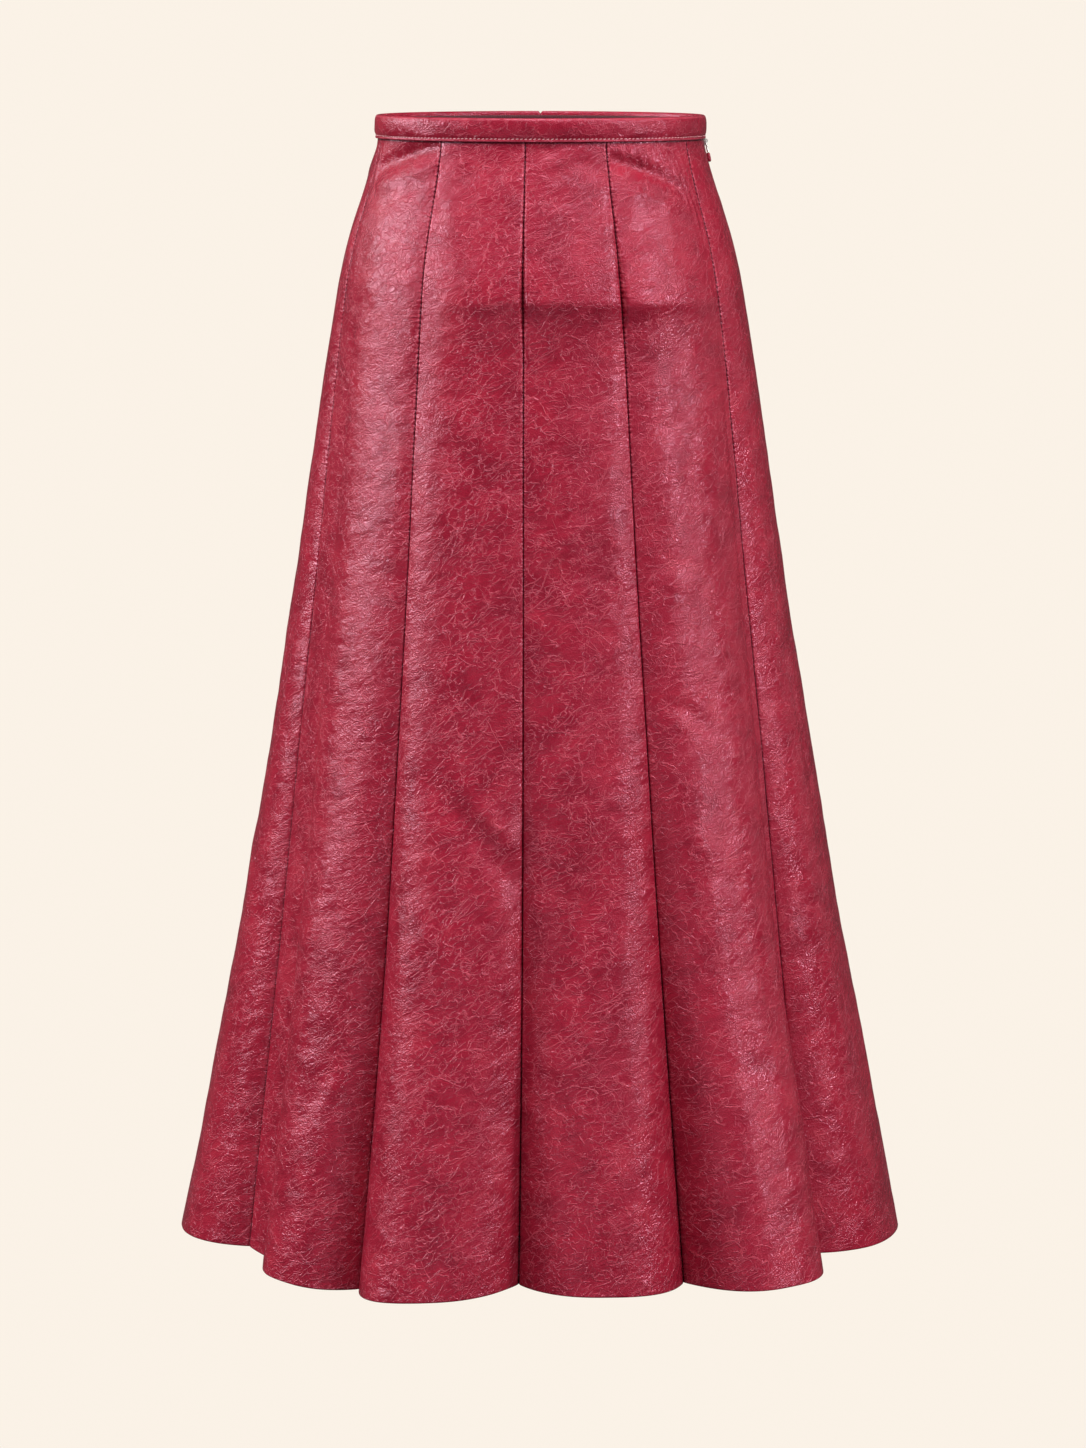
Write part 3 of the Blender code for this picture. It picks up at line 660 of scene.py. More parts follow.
# Where the leather has lain folded across the hips it keeps a sharp crest: gore, first and last
# share, drop, height. The height falls off over one reach above it and a shorter one below it.
HIP_CRESTS = (
    ("front_left", 0.15, 1.85, 123, 4.8), ("front_right", -0.60, 1.60, 124, 5.6),
    ("side_front_right", -0.80, 1.00, 125, 5.8), ("back_left", -0.60, 1.20, 131, 3.6),
    ("back_right", -0.30, 1.50, 129, 3.4), ("side_back_right", 0.20, 0.90, 127, 2.2),
)
CREST = {"above": 34.0, "below": 16.0, "edge": 1.2}

# The leather's soft ground: height and size of its hills (mm), how much flatter than wide they
# are, and their seed. The finest hills start right beside the seams.
SLACK = ((0.45, 46.0, 1.0, 100), (0.90, 120.0, 1.0, 200), (0.16, 17.0, 1.6, 300))
FINE_SLACK = (0.10, 9.0, 1.0, 400)
# how far the stitches draw a seam in, how unevenly, over what lengths and how far to each side
DRAWN = {"depth": 0.35, "uneven": (0.18, 13.0, 1.0, 500), "reach": 5.5}


def crease_height(gore, across, down, width_at):
    """The height of all the gore's main creases at points given across and down it."""
    height = np.zeros_like(across)
    for share_1, drop_1, share_2, drop_2, bow, half_width, rise in CREASES[GORE_NAMES[gore]]:
        start = np.array([(share_1 - 0.5) * width_at(drop_1), drop_1])
        way = np.array([(share_2 - 0.5) * width_at(drop_2), drop_2]) - start
        length = np.linalg.norm(way)
        way /= length
        x, y = across - start[0], down - start[1]
        t = (x * way[0] + y * way[1]) / length
        bowed = bow * (1 - (2 * t - 1) ** 2)
        aside = x * way[1] - y * way[0] - bowed
        taper = np.sin(np.pi * np.clip(t, 0.0, 1.0)) ** 0.7
        height += rise * taper * np.exp(-(aside / half_width) ** 2)
    for name, share_1, share_2, drop, rise in HIP_CRESTS:
        if name != GORE_NAMES[gore]:
            continue
        t = (across / width_at(drop) + 0.5 - share_1) / (share_2 - share_1)
        away = np.hypot(down - drop, CREST["edge"]) - CREST["edge"]
        reach = np.where(down < drop, CREST["above"], CREST["below"])
        height += rise * np.sin(np.pi * np.clip(t, 0.0, 1.0)) ** 0.7 * np.exp(-away / reach)
    return height


def leather_relief(gore, across, down, from_seam):
    """How far the leather stands off its solid's surface, in millimetres."""
    def width_at(drop):
        return float(gore_width(gore, np.array(drop)))

    def ground(rise, cell, flatter, seed):
        return rise * waves(across, down * flatter, cell, seed + gore)

    slack = sum(ground(*row) for row in SLACK)
    height = slack * smooth(down, 60.0, 260.0) * smooth(from_seam, 0.0, 26.0)
    height += ground(*FINE_SLACK) * smooth(from_seam, 1.0, 8.0)
    drawn = DRAWN["depth"] + ground(*DRAWN["uneven"])
    height -= drawn * np.exp(-(from_seam / DRAWN["reach"]) ** 2)
    height *= smooth(down, 9.5, 22.0)
    height += crease_height(gore, across, down, width_at) * smooth(from_seam, 0.0, 2.8)
    return height * smooth(down, 8.6, 11.5)


# --- meshes ---

def lengths_along(points, axis):
    """Distance walked along one axis of a grid of points, from its first point."""
    steps = np.linalg.norm(np.diff(points, axis=axis), axis=-1)
    start = np.zeros_like(np.take(steps, [0], axis=axis))
    return np.concatenate([start, np.cumsum(steps, axis=axis)], axis=axis)


def pairs(first, second):
    """Places on a UV map from their two coordinates."""
    return np.stack(np.broadcast_arrays(first, second), -1)


def swept(name, rings, finishes, uvs, finish_of=None, sharp=50.0):
    """A closed body through a row of rings, in millimetres, with its faces turned outwards.

    uvs has a row for each UV map: its name and its places in millimetres, one for each point.
    finish_of has the number of the finish for each step round a ring.
    """
    rows, count = rings.shape[:2]
    ids = np.arange(rows * count).reshape(rows, count)
    onward = np.roll(ids, -1, axis=1)
    quads = np.stack([ids[:-1], onward[:-1], onward[1:], ids[1:]], -1).reshape(-1, 4)
    points = rings.reshape(-1, 3)
    corners = points[quads]
    cross = np.cross(corners[:, 2] - corners[:, 0], corners[:, 3] - corners[:, 1])
    inside_out = np.einsum("ij,ij->", corners.mean(1) - points.mean(0), cross) < 0
    if inside_out:
        quads = quads[:, ::-1]
    first, last = ids[0].tolist(), ids[-1].tolist()
    ends = [first, last[::-1]] if inside_out else [first[::-1], last]
    faces = quads.tolist() + ends
    finish_numbers = np.zeros(count, int) if finish_of is None else finish_of
    numbers = np.tile(finish_numbers, rows - 1).tolist() + [0, 0]
    data = bpy.data.meshes.new(name)
    data.from_pydata((points * MM).tolist(), [], faces)
    data.polygons.foreach_set("material_index", numbers)
    loop_points = np.zeros(len(data.loops), int)
    data.loops.foreach_get("vertex_index", loop_points)
    for uv_name, places in uvs:
        layer = data.uv_layers.new(name=uv_name)
        layer.data.foreach_set("uv", (places.reshape(-1, 2)[loop_points] * MM).ravel())
    for finish in finishes:
        data.materials.append(finish)
    data.shade_smooth()
    if sharp:
        data.set_sharp_from_angle(angle=math.radians(sharp))
    return put(name, data)


# --- the gores ---

ROLL_STEPS = np.array([0.0, 0.10, 0.30, 0.65, 1.2, 2.2])   # distances from a seam over its roll
INNER_EDGE = np.array([1.2, 1.2, 1.6])   # the same over the allowance, inside
OPEN_FROM = 3.4           # distance from a seam at which the open leather starts
OUTER_COLUMNS = 72        # of points over the open leather
INNER_COLUMNS = 36
ROW_STEP = 2.8            # between two rows of points
LEAVES_BAND = (7.6, 12.0)  # drops between which the seams stand free of the band's grip
FLATTENED = 0.75          # how much of the seams' roll the band presses flat
ALLOWANCE_FOLD = 1.4      # how far inside its edge an allowance's fold lies
HIDE_SHIFT = (370.0, 610.0)   # how far apart on the hides two gores are cut


def gore_rows():
    """Drops of the rows down a gore, the wall's thickness there and how far its edge is rounded."""
    turn = HEM_DROP - HEM_TURN
    top = [(GORE_TOP, WALL, 0.0), (5.0, WALL, 0.0), (7.6, WALL, 0.0)]
    body = [(drop, WALL, 0.0) for drop in np.arange(9.4, turn - 1.0, ROW_STEP)]
    bead = 0.5 * HEM_WALL - 0.08
    foot = HEM_DROP - bead
    turned = [(drop, HEM_WALL, 0.0) for drop in np.linspace(turn + 0.5, foot - 1.0, 13)]
    edge = []
    for angle in np.radians((0.0, 25.0, 50.0, 72.0, 90.0)):
        edge.append((foot + bead * math.sin(angle), HEM_WALL, bead * (1.0 - math.cos(angle))))
    return np.array(top + body + [(turn, WALL, 0.0)] + turned + edge)


def level_outward(gore, share, drop):
    """Level ways outwards, square to the gore."""
    step = 0.002              # of a share, to each side
    along = (gore_point(gore, np.minimum(share + step, 1.0), drop)
             - gore_point(gore, np.maximum(share - step, 0.0), drop))
    outward = np.stack([along[..., 1], -along[..., 0], np.zeros_like(along[..., 0])], -1)
    return outward / np.linalg.norm(outward, axis=-1, keepdims=True)


def gore_surface(gore, across, drop, depth):
    """Points at distances across a gore and down it, at a depth below the outer surface."""
    width = gore_width(gore, drop)
    share = across / width
    point = gore_point(gore, share, drop)
    from_seam = np.minimum(across, width - across)
    outward = level_outward(gore, share, drop)
    for seam, distance, side in ((gore, across, 1.0), (gore + 1, width - across, -1.0)):
        _, along, seam_outward = ellipse_frame(seam_angle(seam, drop), drop)
        near = smooth(distance, 8.0, 2.2)[..., None]
        outward = outward * (1 - near) + seam_outward * near
        opened = seam_gap(seam, drop) * smooth(distance, 14.0, 2.0)
        point = point + along * (side * opened)[..., None]
    relief = leather_relief(gore, across - 0.5 * width, drop, from_seam)
    return point + outward * (relief - depth)[..., None], from_seam


def gore_side(gore, drop, edge_across, edge_depth, columns, depth):
    """One side of a gore, and each point's distance from its nearer seam.

    It runs over one seam's edge, the columns of the open leather and the other seam's edge.
    """
    width = gore_width(gore, drop)
    open_across = OPEN_FROM + (width - 2 * OPEN_FROM) * np.linspace(0.0, 1.0, columns)
    first = gore_surface(gore, edge_across, drop, edge_depth)
    middle = gore_surface(gore, open_across, drop, depth)
    last = gore_surface(gore, width - edge_across, drop, edge_depth)
    return [np.concatenate([a, b, c[:, ::-1]], 1) for a, b, c in zip(first, middle, last)]


def down_middle(side):
    """Distance walked down the middle of one side of a gore, at each of its rows."""
    return lengths_along(side[:, side.shape[1] // 2][:, None], 0)


def build_gore(gore):
    """One gore: its creased outer side, rolled edges, allowances, inner side and turned-up hem."""
    rows = gore_rows()
    drop, wall, bead = rows[:, :1], rows[:, 1:2], rows[:, 2:3]
    in_band = 1.0 - smooth(drop, *LEAVES_BAND)
    allowance = ALLOWANCE + (WALL - ALLOWANCE) * in_band
    radius = np.interp(drop, *np.array(SEAM_ROLL).T)
    roll = radius - np.sqrt(radius**2 - np.maximum(radius - ROLL_STEPS, 0.0) ** 2)
    roll = roll * (1.0 - FLATTENED * in_band)
    edge = np.concatenate([np.zeros_like(drop), np.broadcast_to(ROLL_STEPS, roll.shape)], 1)
    edge_depth = np.concatenate([allowance, roll + bead], 1)
    outer, outer_seam = gore_side(gore, drop, edge, edge_depth, OUTER_COLUMNS, bead)
    inner_edge = np.broadcast_to(INNER_EDGE, (len(rows), len(INNER_EDGE)))
    fold = np.maximum(allowance - ALLOWANCE_FOLD, wall)
    inner_depth = np.concatenate([allowance, fold, wall - bead], 1)
    inner, inner_seam = gore_side(gore, drop, inner_edge, inner_depth, INNER_COLUMNS, wall - bead)

    rings = np.concatenate([outer, inner[:, ::-1]], 1)
    from_seam = np.concatenate([outer_seam, inner_seam[:, ::-1]], 1)
    hide = []
    for side in (outer, inner):
        across = lengths_along(side, 1)
        across -= 0.5 * across[:, -1:]
        hide.append(pairs(across + gore * HIDE_SHIFT[0], gore * HIDE_SHIFT[1] - down_middle(side)))
    hide = np.concatenate([hide[0], hide[1][:, ::-1]], 1)
    finish_of = np.zeros(rings.shape[1], int)
    finish_of[outer.shape[1] - 1:-1] = 1
    piece = swept("leather_" + GORE_NAMES[gore], rings, (leather, flesh),
                  (("hide", hide), ("seam", pairs(from_seam, drop))), finish_of)
    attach(piece, "skirt")
    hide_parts("gore_" + GORE_NAMES[gore])


# --- rows of stitches and zip teeth ---

class Row(Nodes):
    """A Geometry Nodes tree that sets one small shape at even steps along a path of points.

    The path's "outward" attribute says which way the shape's upper side faces.
    """

    def __init__(self, name):
        tree = bpy.data.node_groups.new(name, "GeometryNodeTree")
        super().__init__(tree, "GeometryNode")
        self.values = {}
        self.socket("Geometry", "NodeSocketGeometry")
        tree.interface.new_socket("Geometry", in_out="OUTPUT", socket_type="NodeSocketGeometry")
        self.inside = tree.nodes.new("NodeGroupInput")
        self.outside = tree.nodes.new("NodeGroupOutput")

    def socket(self, name, socket_type="NodeSocketFloat"):
        made = self.tree.interface.new_socket(name, in_out="INPUT", socket_type=socket_type)
        self.values[name] = made.identifier

    def size(self, name, socket_type="NodeSocketFloat"):
        """A named input of the tree."""
        self.socket(name, socket_type)
        return self.inside.outputs[name]

    def place(self, across, along=0.0, up=0.0):
        return self.add("CombineXYZ", {0: across, 1: along, 2: up}, "ShaderNode").outputs[0]

    def repeat(self, shape):
        """Sets the shape along the path, a little unevenly, and gives it its finish."""
        path = self.add("MeshToCurve", {"Mesh": self.inside.outputs["Geometry"]}).outputs[0]
        steps = self.add("ResampleCurve", {"Curve": path}, mode="LENGTH")
        self.feed(steps.inputs["Length"], self.size("Pitch"))
        align = "AlignRotationToVector"
        facing = self.add("InputNamedAttribute", {"Name": "outward"}, data_type="FLOAT_VECTOR")
        along = self.add(align, {"Vector": self.add("InputTangent").outputs[0]}, "FunctionNode")
        along.axis = "X"
        upright = self.add(align, {"Rotation": along.outputs[0], "Vector": facing.outputs[0]},
                           "FunctionNode")
        upright.axis = "Z"
        upright.pivot_axis = "X"
        slant, sway = self.size("Slant"), self.size("Sway")
        turned = self.add("RandomValue", {0: self.place(0.0, 0.0, self.less(slant, sway)),
                                          1: self.place(0.0, 0.0, self.total(slant, sway))},
                          "FunctionNode", data_type="FLOAT_VECTOR")
        self.feed(turned.inputs["Seed"], self.size("Seed", "NodeSocketInt"))
        euler = self.add("EulerToRotation", {0: turned.outputs[0]}, "FunctionNode").outputs[0]
        rotation = self.add("RotateRotation", {0: upright.outputs[0], 1: euler}, "FunctionNode",
                            rotation_space="LOCAL").outputs[0]
        placed = self.add("InstanceOnPoints", {"Points": steps.outputs[0], "Instance": shape,
                                               "Rotation": rotation}).outputs[0]
        real = self.add("RealizeInstances", {0: placed}).outputs[0]
        finished = self.add("SetMaterial", {0: real}).outputs[0]
        self.feed(finished.node.inputs["Material"], self.size("Finish", "NodeSocketMaterial"))
        self.feed(self.outside.inputs[0], self.add("SetShadeSmooth", {0: finished}).outputs[0])
        return self


def stitch_row():
    """Short arched stitches, thinner where they go into the leather."""
    row = Row("stitch_row")
    reach = row.product(row.size("Length"), 0.5)
    rise = row.size("Rise")
    sunk = row.product(rise, -1.0)
    arch = row.add("CurveQuadraticBezier", {
        "Resolution": 6, "Start": row.place(row.product(reach, -1.0), 0.0, sunk),
        "Middle": row.place(0.0, 0.0, rise), "End": row.place(reach, 0.0, sunk)}).outputs[0]
    share = row.add("SplineParameter").outputs["Factor"]
    off_middle = row.math("POWER", row.apart(share, 0.5), 2.0)
    plump = row.less(1.0, row.product(off_middle, 1.6))
    arch = row.add("SetCurveRadius", {"Curve": arch, "Radius": plump}).outputs[0]
    thread = {"Resolution": 7, "Radius": row.size("Thread")}
    thread = row.add("CurvePrimitiveCircle", thread).outputs[0]
    shape = row.add("CurveToMesh", {"Curve": arch, "Profile Curve": thread, "Scale": plump,
                                    "Fill Caps": True}).outputs[0]
    return row.repeat(shape)


def tooth_row():
    """The zip's nylon teeth: flat loops of round wire set across the tape."""
    row = Row("tooth_row")
    loop = {"Width": row.size("Depth"), "Height": row.size("Reach")}
    loop = row.add("CurvePrimitiveQuadrilateral", loop, mode="RECTANGLE").outputs[0]
    loop = row.add("FilletCurve", {"Curve": loop, "Radius": row.size("Corner")}, mode="POLY")
    loop.inputs["Count"].default_value = 2
    wire = row.add("CurvePrimitiveCircle", {"Resolution": 6, "Radius": row.size("Wire")}).outputs[0]
    shape = row.add("CurveToMesh", {"Curve": loop.outputs[0], "Profile Curve": wire}).outputs[0]
    upright = row.add("Transform", {"Geometry": shape})
    upright.inputs["Rotation"].default_value = (0.0, math.radians(90.0), 0.0)
    return row.repeat(upright.outputs[0])


def set_row(name, row, points, outward, sizes, values):
    """A row's shapes along a path, made into a plain mesh that rides on the skirt.

    The points and sizes are in millimetres.
    """
    data = bpy.data.meshes.new(name + "_path")
    data.from_pydata((points * MM).tolist(), [(i, i + 1) for i in range(len(points) - 1)], [])
    facing = data.attributes.new("outward", "FLOAT_VECTOR", "POINT")
    facing.data.foreach_set("vector", np.asarray(outward, float).ravel())
    path = put(name + "_path", data)
    modifier = path.modifiers.new("row", "NODES")
    modifier.node_group = row.tree
    for key, value in sizes.items():
        modifier[row.values[key]] = value * MM
    for key, value in values.items():
        modifier[row.values[key]] = value
    depsgraph = bpy.context.evaluated_depsgraph_get()
    mesh = bpy.data.meshes.new_from_object(path.evaluated_get(depsgraph))
    mesh.name = name
    bpy.data.objects.remove(path)
    piece = put(name, mesh)
    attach(piece, "skirt")
    return piece


# --- the waistband ---

# The folded band's section: distance outwards from the gores' surface, and height. It goes from the
# outer leaf's lip over the stitched channel and the rounded top, and back up into the slot.
BAND_SECTION = np.array([
    (0.30, -8.25), (0.50, -8.60), (0.95, -8.76), (1.45, -8.64), (1.78, -8.22), (1.74, -7.62),
    (1.48, -7.12), (1.34, -6.72), (1.34, -6.34), (1.48, -5.96), (1.80, -5.30), (2.10, -4.20),
    (2.32, -2.60), (2.42, -0.60), (2.42, 1.60), (2.32, 3.60), (2.12, 5.30), (1.76, 6.70),
    (1.25, 7.75), (0.62, 8.38), (-0.10, 8.62), (-0.95, 8.62), (-1.65, 8.36), (-2.20, 7.75),
    (-2.52, 6.90), (-2.66, 5.60), (-2.72, 3.50), (-2.72, 0.50), (-2.72, -3.00), (-2.70, -6.50),
    (-2.62, -8.20), (-2.40, -8.50), (-1.90, -8.50), (-1.60, -8.20), (-1.50, -4.00), (-1.50, -0.95),
    (-1.30, -0.72), (0.10, -0.72), (0.30, -0.95), (0.30, -4.00),
])
CHANNEL = {"out": 1.34, "height": -6.50}      # where the edge stitches lie
BAND_STEP = 1.6           # between two sections of the band
BAND_GAP = 0.06           # half the gap between two lengths of the band
BAND_HIDE_SHIFT = 1500.0  # how far apart on the hide the lengths are cut
FIRST_STITCH = 1.2        # from an end of the band to its first stitch
STITCH = {"Pitch": 3.2, "Length": 2.7, "Rise": 0.5, "Thread": 0.34}
BAND_END = ((0.0, 0.42), (0.18, 0.20), (0.45, 0.06), (0.9, 0.0))   # distance from an end, inset
JOIN_NOTCH = {"length": 1.6, "depth": 1.3}
# band, its first and last angle, whether the centre-back notch is at its first or last end
BANDS = (
    ("band_front", SEAMS[LEFT_SIDE_SEAM][0], SEAMS[ZIP_SEAM][0], False, False),
    ("band_back_right", SEAMS[ZIP_SEAM][0], CENTRE_BACK_JOIN, False, True),
    ("band_back_left", CENTRE_BACK_JOIN - 360.0, SEAMS[LEFT_SIDE_SEAM][0], True, False),
)


def waist_frames(first, last, step, gap):
    """Places and angles at even steps between two angles, with a gap left at both ends.

    After them come all the distances walked round the waist, and the angles of those.
    """
    dense = np.radians(np.linspace(first, last, 2000))
    point, _, _ = ellipse_frame(dense, np.zeros(1))
    walked = lengths_along(point, 0)
    count = max(2, int(round((walked[-1] - 2 * gap) / step)))
    places = np.linspace(gap, walked[-1] - gap, count + 1)
    return places, np.interp(places, walked, dense), walked, dense


def outline_normals(section):
    """Ways outwards of a closed section that runs over its top from outside to inside."""
    way = np.roll(section, -1, axis=0) - np.roll(section, 1, axis=0)
    normal = np.stack([way[:, 1], -way[:, 0]], -1)
    return normal / np.linalg.norm(normal, axis=1, keepdims=True)


def band_relief(walked, heights, outs, seed):
    """Soft slanting creases of the band's outer leaf, in millimetres."""
    slant = walked + 0.9 * heights
    relief = 0.22 * waves(slant, heights * 0.7 + 40.0, 7.0, seed)
    relief += 0.26 * waves(slant, heights * 0.5 + 90.0, 21.0, seed + 1)
    return relief * smooth(outs, 1.2, 2.2) * smooth(heights, -6.0, -3.5) * smooth(heights, 8.5, 5.0)


def build_band(number):
    name, first, last, notch_first, notch_last = BANDS[number]
    places, _, walked, dense = waist_frames(first, last, BAND_STEP, BAND_GAP)
    extra = np.array([row[0] for row in BAND_END[1:]])
    places = np.unique(np.concatenate([places, places[0] + extra, places[-1] - extra]))
    angles = np.interp(places, walked, dense)
    point, _, outward = ellipse_frame(angles, np.zeros(1))
    from_end = np.minimum(places - places[0], places[-1] - places)
    inset = np.interp(from_end, *np.array(BAND_END).T)[:, None]
    section = BAND_SECTION[None] - outline_normals(BAND_SECTION)[None] * inset[..., None]
    outs, heights = section[..., 0].copy(), section[..., 1].copy()
    outs += band_relief(places[:, None], heights, outs, 700 + 10 * number)
    for notched, away in ((notch_first, places - places[0]), (notch_last, places[-1] - places)):
        if notched:
            sink = JOIN_NOTCH["depth"] * smooth(away, JOIN_NOTCH["length"], 0.2)[:, None]
            heights -= sink * smooth(heights, 4.0, 8.0)
    rings = point[:, None] + outward[:, None] * outs[..., None] + UP * heights[..., None]
    around = lengths_along(BAND_SECTION, 0)
    hide = pairs(places[:, None] + BAND_HIDE_SHIFT * (number + 1), around)
    seam = pairs(np.full_like(places, SEAMLESS)[:, None], BAND_PLACE + around)
    piece = swept("leather_" + name, rings, (band_leather,), (("hide", hide), ("seam", seam)))
    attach(piece, "skirt")
    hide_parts(name)
    # the edge stitches
    inner = (places > places[0] + FIRST_STITCH) & (places < places[-1] - FIRST_STITCH)
    path = point + outward * CHANNEL["out"] + UP * CHANNEL["height"]
    set_row("stitches_" + name, stitches, path[inner], outward[inner], STITCH,
            {"Slant": 0.22, "Sway": 0.07, "Seed": 40 + number, "Finish": pale_thread})


FACING_SECTION = np.array([
    (-3.05, -7.5), (-3.05, -4.0), (-3.05, 0.0), (-3.05, 3.5), (-3.05, 5.35), (-3.2, 5.5),
    (-3.7, 5.5), (-3.85, 5.3), (-3.85, 3.5), (-3.85, 0.0), (-3.85, -4.0), (-3.85, -7.3),
    (-3.7, -7.5),
])
RIB_PITCH = 1.6
RIB_HEIGHT = 0.16
RIB_STEPS = 4             # sections to a rib
FACING_GAP = 0.3          # from the zip to each end of the facing


def build_facing():
    """The ribbed ribbon inside the band, from one side of the zip round to the other."""
    zip_angle = SEAMS[ZIP_SEAM][0]
    places, angles, _, _ = waist_frames(zip_angle - 360.0, zip_angle,
                                         RIB_PITCH / RIB_STEPS, FACING_GAP)
    point, _, outward = ellipse_frame(angles, np.zeros(1))
    rib = RIB_HEIGHT * np.cos(2 * math.pi * places / RIB_PITCH)[:, None]
    section_outs, section_heights = FACING_SECTION[None, :, 0], FACING_SECTION[None, :, 1]
    outs = section_outs - rib * smooth(section_outs, -3.3, -3.7)
    outs = outs + 0.10 * waves(places[:, None], section_heights + 30.0, 24.0, 790)
    rings = point[:, None] + outward[:, None] * outs[..., None] + UP * section_heights[..., None]
    hide = pairs(places[:, None], lengths_along(FACING_SECTION, 0))
    piece = swept("ribbed_facing", rings, (ribbon,), (("hide", hide),), sharp=0)
    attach(piece, "skirt")
    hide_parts("band_facing")


# --- the zip ---

TAPE = {"top": 9.5, "bottom": 192.0, "width": 11.0, "thickness": 0.8, "depth": 4.3,
        "slit": 0.25, "slit_from": 26.0, "row_step": 2.5, "columns": 9}
TAPE_RIPPLE = (0.12, 15.0)   # height and length of its waves
PIN = {"drop": 10.8, "outward": 1.9, "radius": 0.5}
PULL_LEAN = 12.0          # degrees from plumb at which the pull rests on the cloth
LINK = {"half_width": 1.6, "corner": 0.9, "length": 8.8}
# the leather drop: distance from the pin, half width, half thickness
DROP_PROFILE = np.array([
    (9.1, 1.3, 0.8), (9.5, 1.8, 1.1), (11.0, 2.1, 1.3), (12.8, 2.4, 1.35),
    (14.2, 2.4, 1.3), (15.3, 1.9, 1.1), (15.9, 1.0, 0.7),
])
DROP_HIDE_PLACE = 900.0   # where on the hide the drop is cut
TEETH = {"first": 20.5, "last": 187.0, "depth": 6.15, "from_seam": 0.75}
TOOTH = {"Pitch": 1.5, "Depth": 1.25, "Reach": 3.2, "Corner": 0.5, "Wire": 0.27}


def zip_frame(drop):
    """Points of the zip's seam, the ways along the waist and the ways outwards."""
    base = gore_point(ZIP_SEAM, 0.0, drop)
    _, along, outward = ellipse_frame(seam_angle(ZIP_SEAM, drop), drop)
    return base, along, outward


def build_tape(name, side):
    """One half of the woven tape behind the seam: side is -1 in front and 1 behind."""
    drops = np.arange(TAPE["top"], TAPE["bottom"], TAPE["row_step"])
    drops = np.concatenate([drops, [TAPE["bottom"]]])
    base, along, outward = zip_frame(drops)
    edge = np.interp(drops, (ZIP_OPENING[1], TAPE["slit_from"]), (ZIP_GAP, TAPE["slit"]))[:, None]
    across = edge + (TAPE["width"] - edge) * np.linspace(0.0, 1.0, TAPE["columns"])[None]
    ripple = TAPE_RIPPLE[0] * waves(across, drops[:, None], TAPE_RIPPLE[1], 820 + int(side))
    rings = []
    behind = TAPE["depth"] + TAPE["thickness"]
    for depth, reach, wave in ((TAPE["depth"], across, ripple),
                               (behind, across[:, ::-1], ripple[:, ::-1])):
        rings.append(base[:, None] + along[:, None] * (side * reach)[..., None]
                     - outward[:, None] * (depth + wave)[..., None])
    hide = pairs(np.concatenate([across, across[:, ::-1]], 1), -drops[:, None])
    piece = swept(name, np.concatenate(rings, 1), (tape_weave,), (("hide", hide),))
    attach(piece, "skirt")
    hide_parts("zip_" + name)
    later = 0.0 if side < 0 else 0.5 * TOOTH["Pitch"]
    base, along, outward = zip_frame(np.arange(TEETH["first"], TEETH["last"], 1.0) + later)
    path = base + along * (side * TEETH["from_seam"]) - outward * TEETH["depth"]
    teeth = set_row("teeth_" + name, zip_teeth, path, -outward, TOOTH,
                    {"Slant": 0.0, "Sway": 0.02, "Seed": 60, "Finish": nylon})


def build_pull():
    """The pull: a hairpin of bright wire that turns in the slider's eye, and its leather drop."""
    base, along, outward = (row[0] for row in zip_frame(np.array([PIN["drop"]])))
    pin = base + outward * PIN["outward"]
    pin[2] = -PIN["drop"]
    lean = math.radians(PULL_LEAN)
    down = outward * math.sin(lean) - UP * math.cos(lean)
    off = outward * math.cos(lean) + UP * math.sin(lean)
    half, corner = LINK["half_width"], LINK["corner"]
    path = [(-half, length, 180.0) for length in np.linspace(LINK["length"], corner, 7)]
    path += [(corner - half + corner * math.cos(math.radians(turn)),
              corner + corner * math.sin(math.radians(turn)), turn)
             for turn in np.linspace(180.0, 270.0, 8)[1:]]
    path += [(-across, length, 540.0 - turn) for across, length, turn in path[::-1]]
    rings = []
    for across, length, turn in path:
        centre = pin + along * across + down * length
        side = along * math.cos(math.radians(turn)) + down * math.sin(math.radians(turn))
        rings.append([centre + PIN["radius"] * (side * math.cos(angle) + off * math.sin(angle))
                      for angle in np.linspace(0.0, 2 * math.pi, 16, endpoint=False)])
    link = swept("pull_link", np.array(rings), (metal,), ())
    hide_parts("zip_link")
    lengths = np.linspace(DROP_PROFILE[0, 0], DROP_PROFILE[-1, 0], 26)
    turns = np.linspace(0.0, 2 * math.pi, 28, endpoint=False)
    rings, hide = [], []
    for length, half_width, half_thickness in zip(lengths, *between_rows(DROP_PROFILE, lengths)):
        rings.append([pin + down * length + along * half_width * math.cos(turn)
                      + off * half_thickness * np.sign(math.sin(turn)) * abs(math.sin(turn)) ** 0.8
                      for turn in turns])
        hide.append([(half_width * turn + DROP_HIDE_PLACE, length) for turn in turns])
    drop = swept("pull_drop", np.array(rings), (band_leather,),
                 (("hide", np.array(hide)), ("seam", np.full_like(hide, SEAMLESS))))
    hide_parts("zip_tab")
    for piece in (link, drop):
        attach(piece, "pull")


# --- the stage ---

STAGE_COLOUR = (0.962, 0.887, 0.797)
STAGE_FLOOR = -1150.0
STAGE_RADIUS = 7000.0
STAGE_HEIGHT = 7000.0
STAGE_CURVE = 2500.0      # radius of the bend from the floor to the wall
STAGE_STEPS = 48          # round the stage


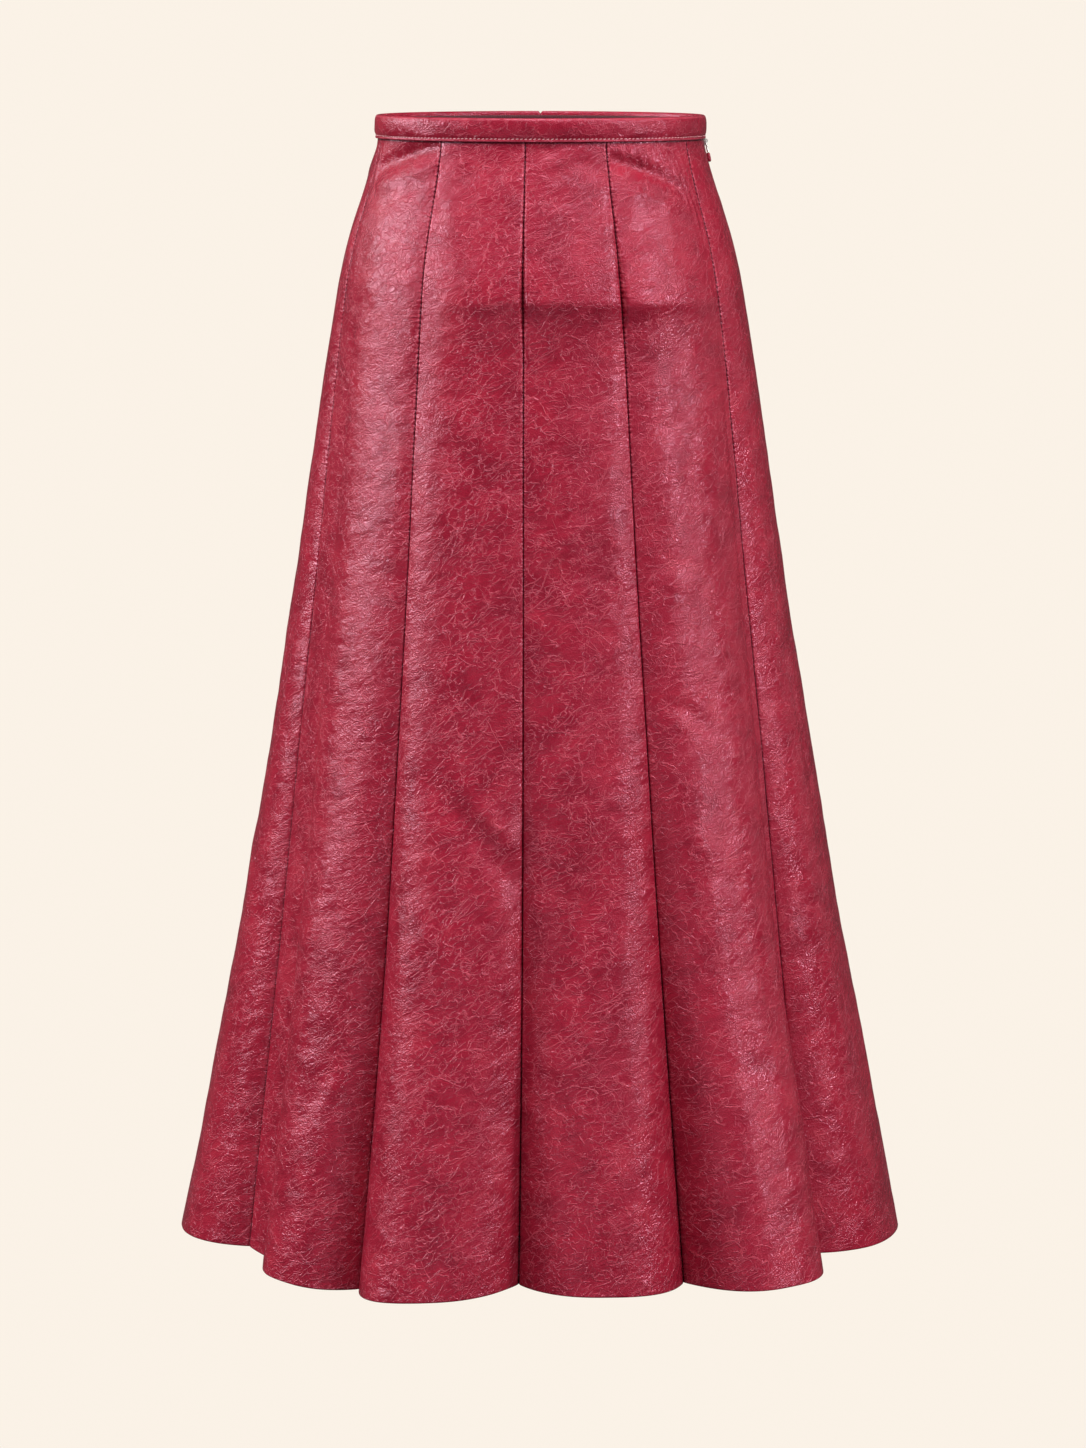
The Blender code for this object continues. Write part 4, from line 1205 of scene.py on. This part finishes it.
def build_stage():
    """A plain pale floor that curves up into a plain wall all round."""
    outline = [(0.0, 0.0), (STAGE_CURVE, 0.0)]
    for angle in np.radians(np.linspace(-90.0, 0.0, 9)):
        outline.append((STAGE_RADIUS - STAGE_CURVE + STAGE_CURVE * math.cos(angle),
                        STAGE_CURVE + STAGE_CURVE * math.sin(angle)))
    outline.append((STAGE_RADIUS, STAGE_HEIGHT))
    turns = [2 * math.pi * i / STAGE_STEPS for i in range(STAGE_STEPS)]
    mesh = bmesh.new()
    rows = [[mesh.verts.new(Vector((radius * math.cos(turn), radius * math.sin(turn),
                                    STAGE_FLOOR + height)) * MM) for turn in turns]
            for radius, height in outline]
    for row, next_row in zip(rows, rows[1:]):
        for i in range(STAGE_STEPS):
            j = (i + 1) % STAGE_STEPS
            mesh.faces.new((row[i], row[j], next_row[j], next_row[i])).smooth = True
    bmesh.ops.remove_doubles(mesh, verts=mesh.verts, dist=0.0001)
    data = bpy.data.meshes.new("stage")
    mesh.to_mesh(data)
    mesh.free()
    paper = Finish("stage_paper")
    paper.set(Base_Color=(0.0, 0.0, 0.0), Specular_IOR_Level=0.0,
              Emission_Color=STAGE_COLOUR, Emission_Strength=1.0)
    data.materials.append(paper.material)
    stage = put("stage", data)
    stage.visible_diffuse = False
    stage.visible_glossy = False
    stage.visible_shadow = False


# --- putting it together ---

leather = leather_finish("red_leather")
band_leather = leather_finish("band_leather", 0.55, BAND_WEAR_AND_HIGHLIGHT_EDGES)
flesh = flesh_finish("leather_flesh_side")
ribbon = ribbon_finish("ribbed_ribbon")
tape_weave = weave_finish("tape_weave")
pale_thread = thread_finish("pale_thread", (0.60, 0.22, 0.26), (0.85, 0.52, 0.54))
nylon = thread_finish("dark_nylon", (0.06, 0.004, 0.012), (0.14, 0.012, 0.03))
metal = metal_finish("bright_nickel")
stitches = stitch_row()
zip_teeth = tooth_row()

place_camera()
place_lamps()
build_stage()
for gore_number in range(len(GORES)):
    build_gore(gore_number)
for band_number in range(len(BANDS)):
    build_band(band_number)
build_facing()
build_tape("tape_front", -1.0)
build_tape("tape_back", 1.0)
build_pull()
for material_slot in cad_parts["zip_slider"].material_slots:
    material_slot.material = metal
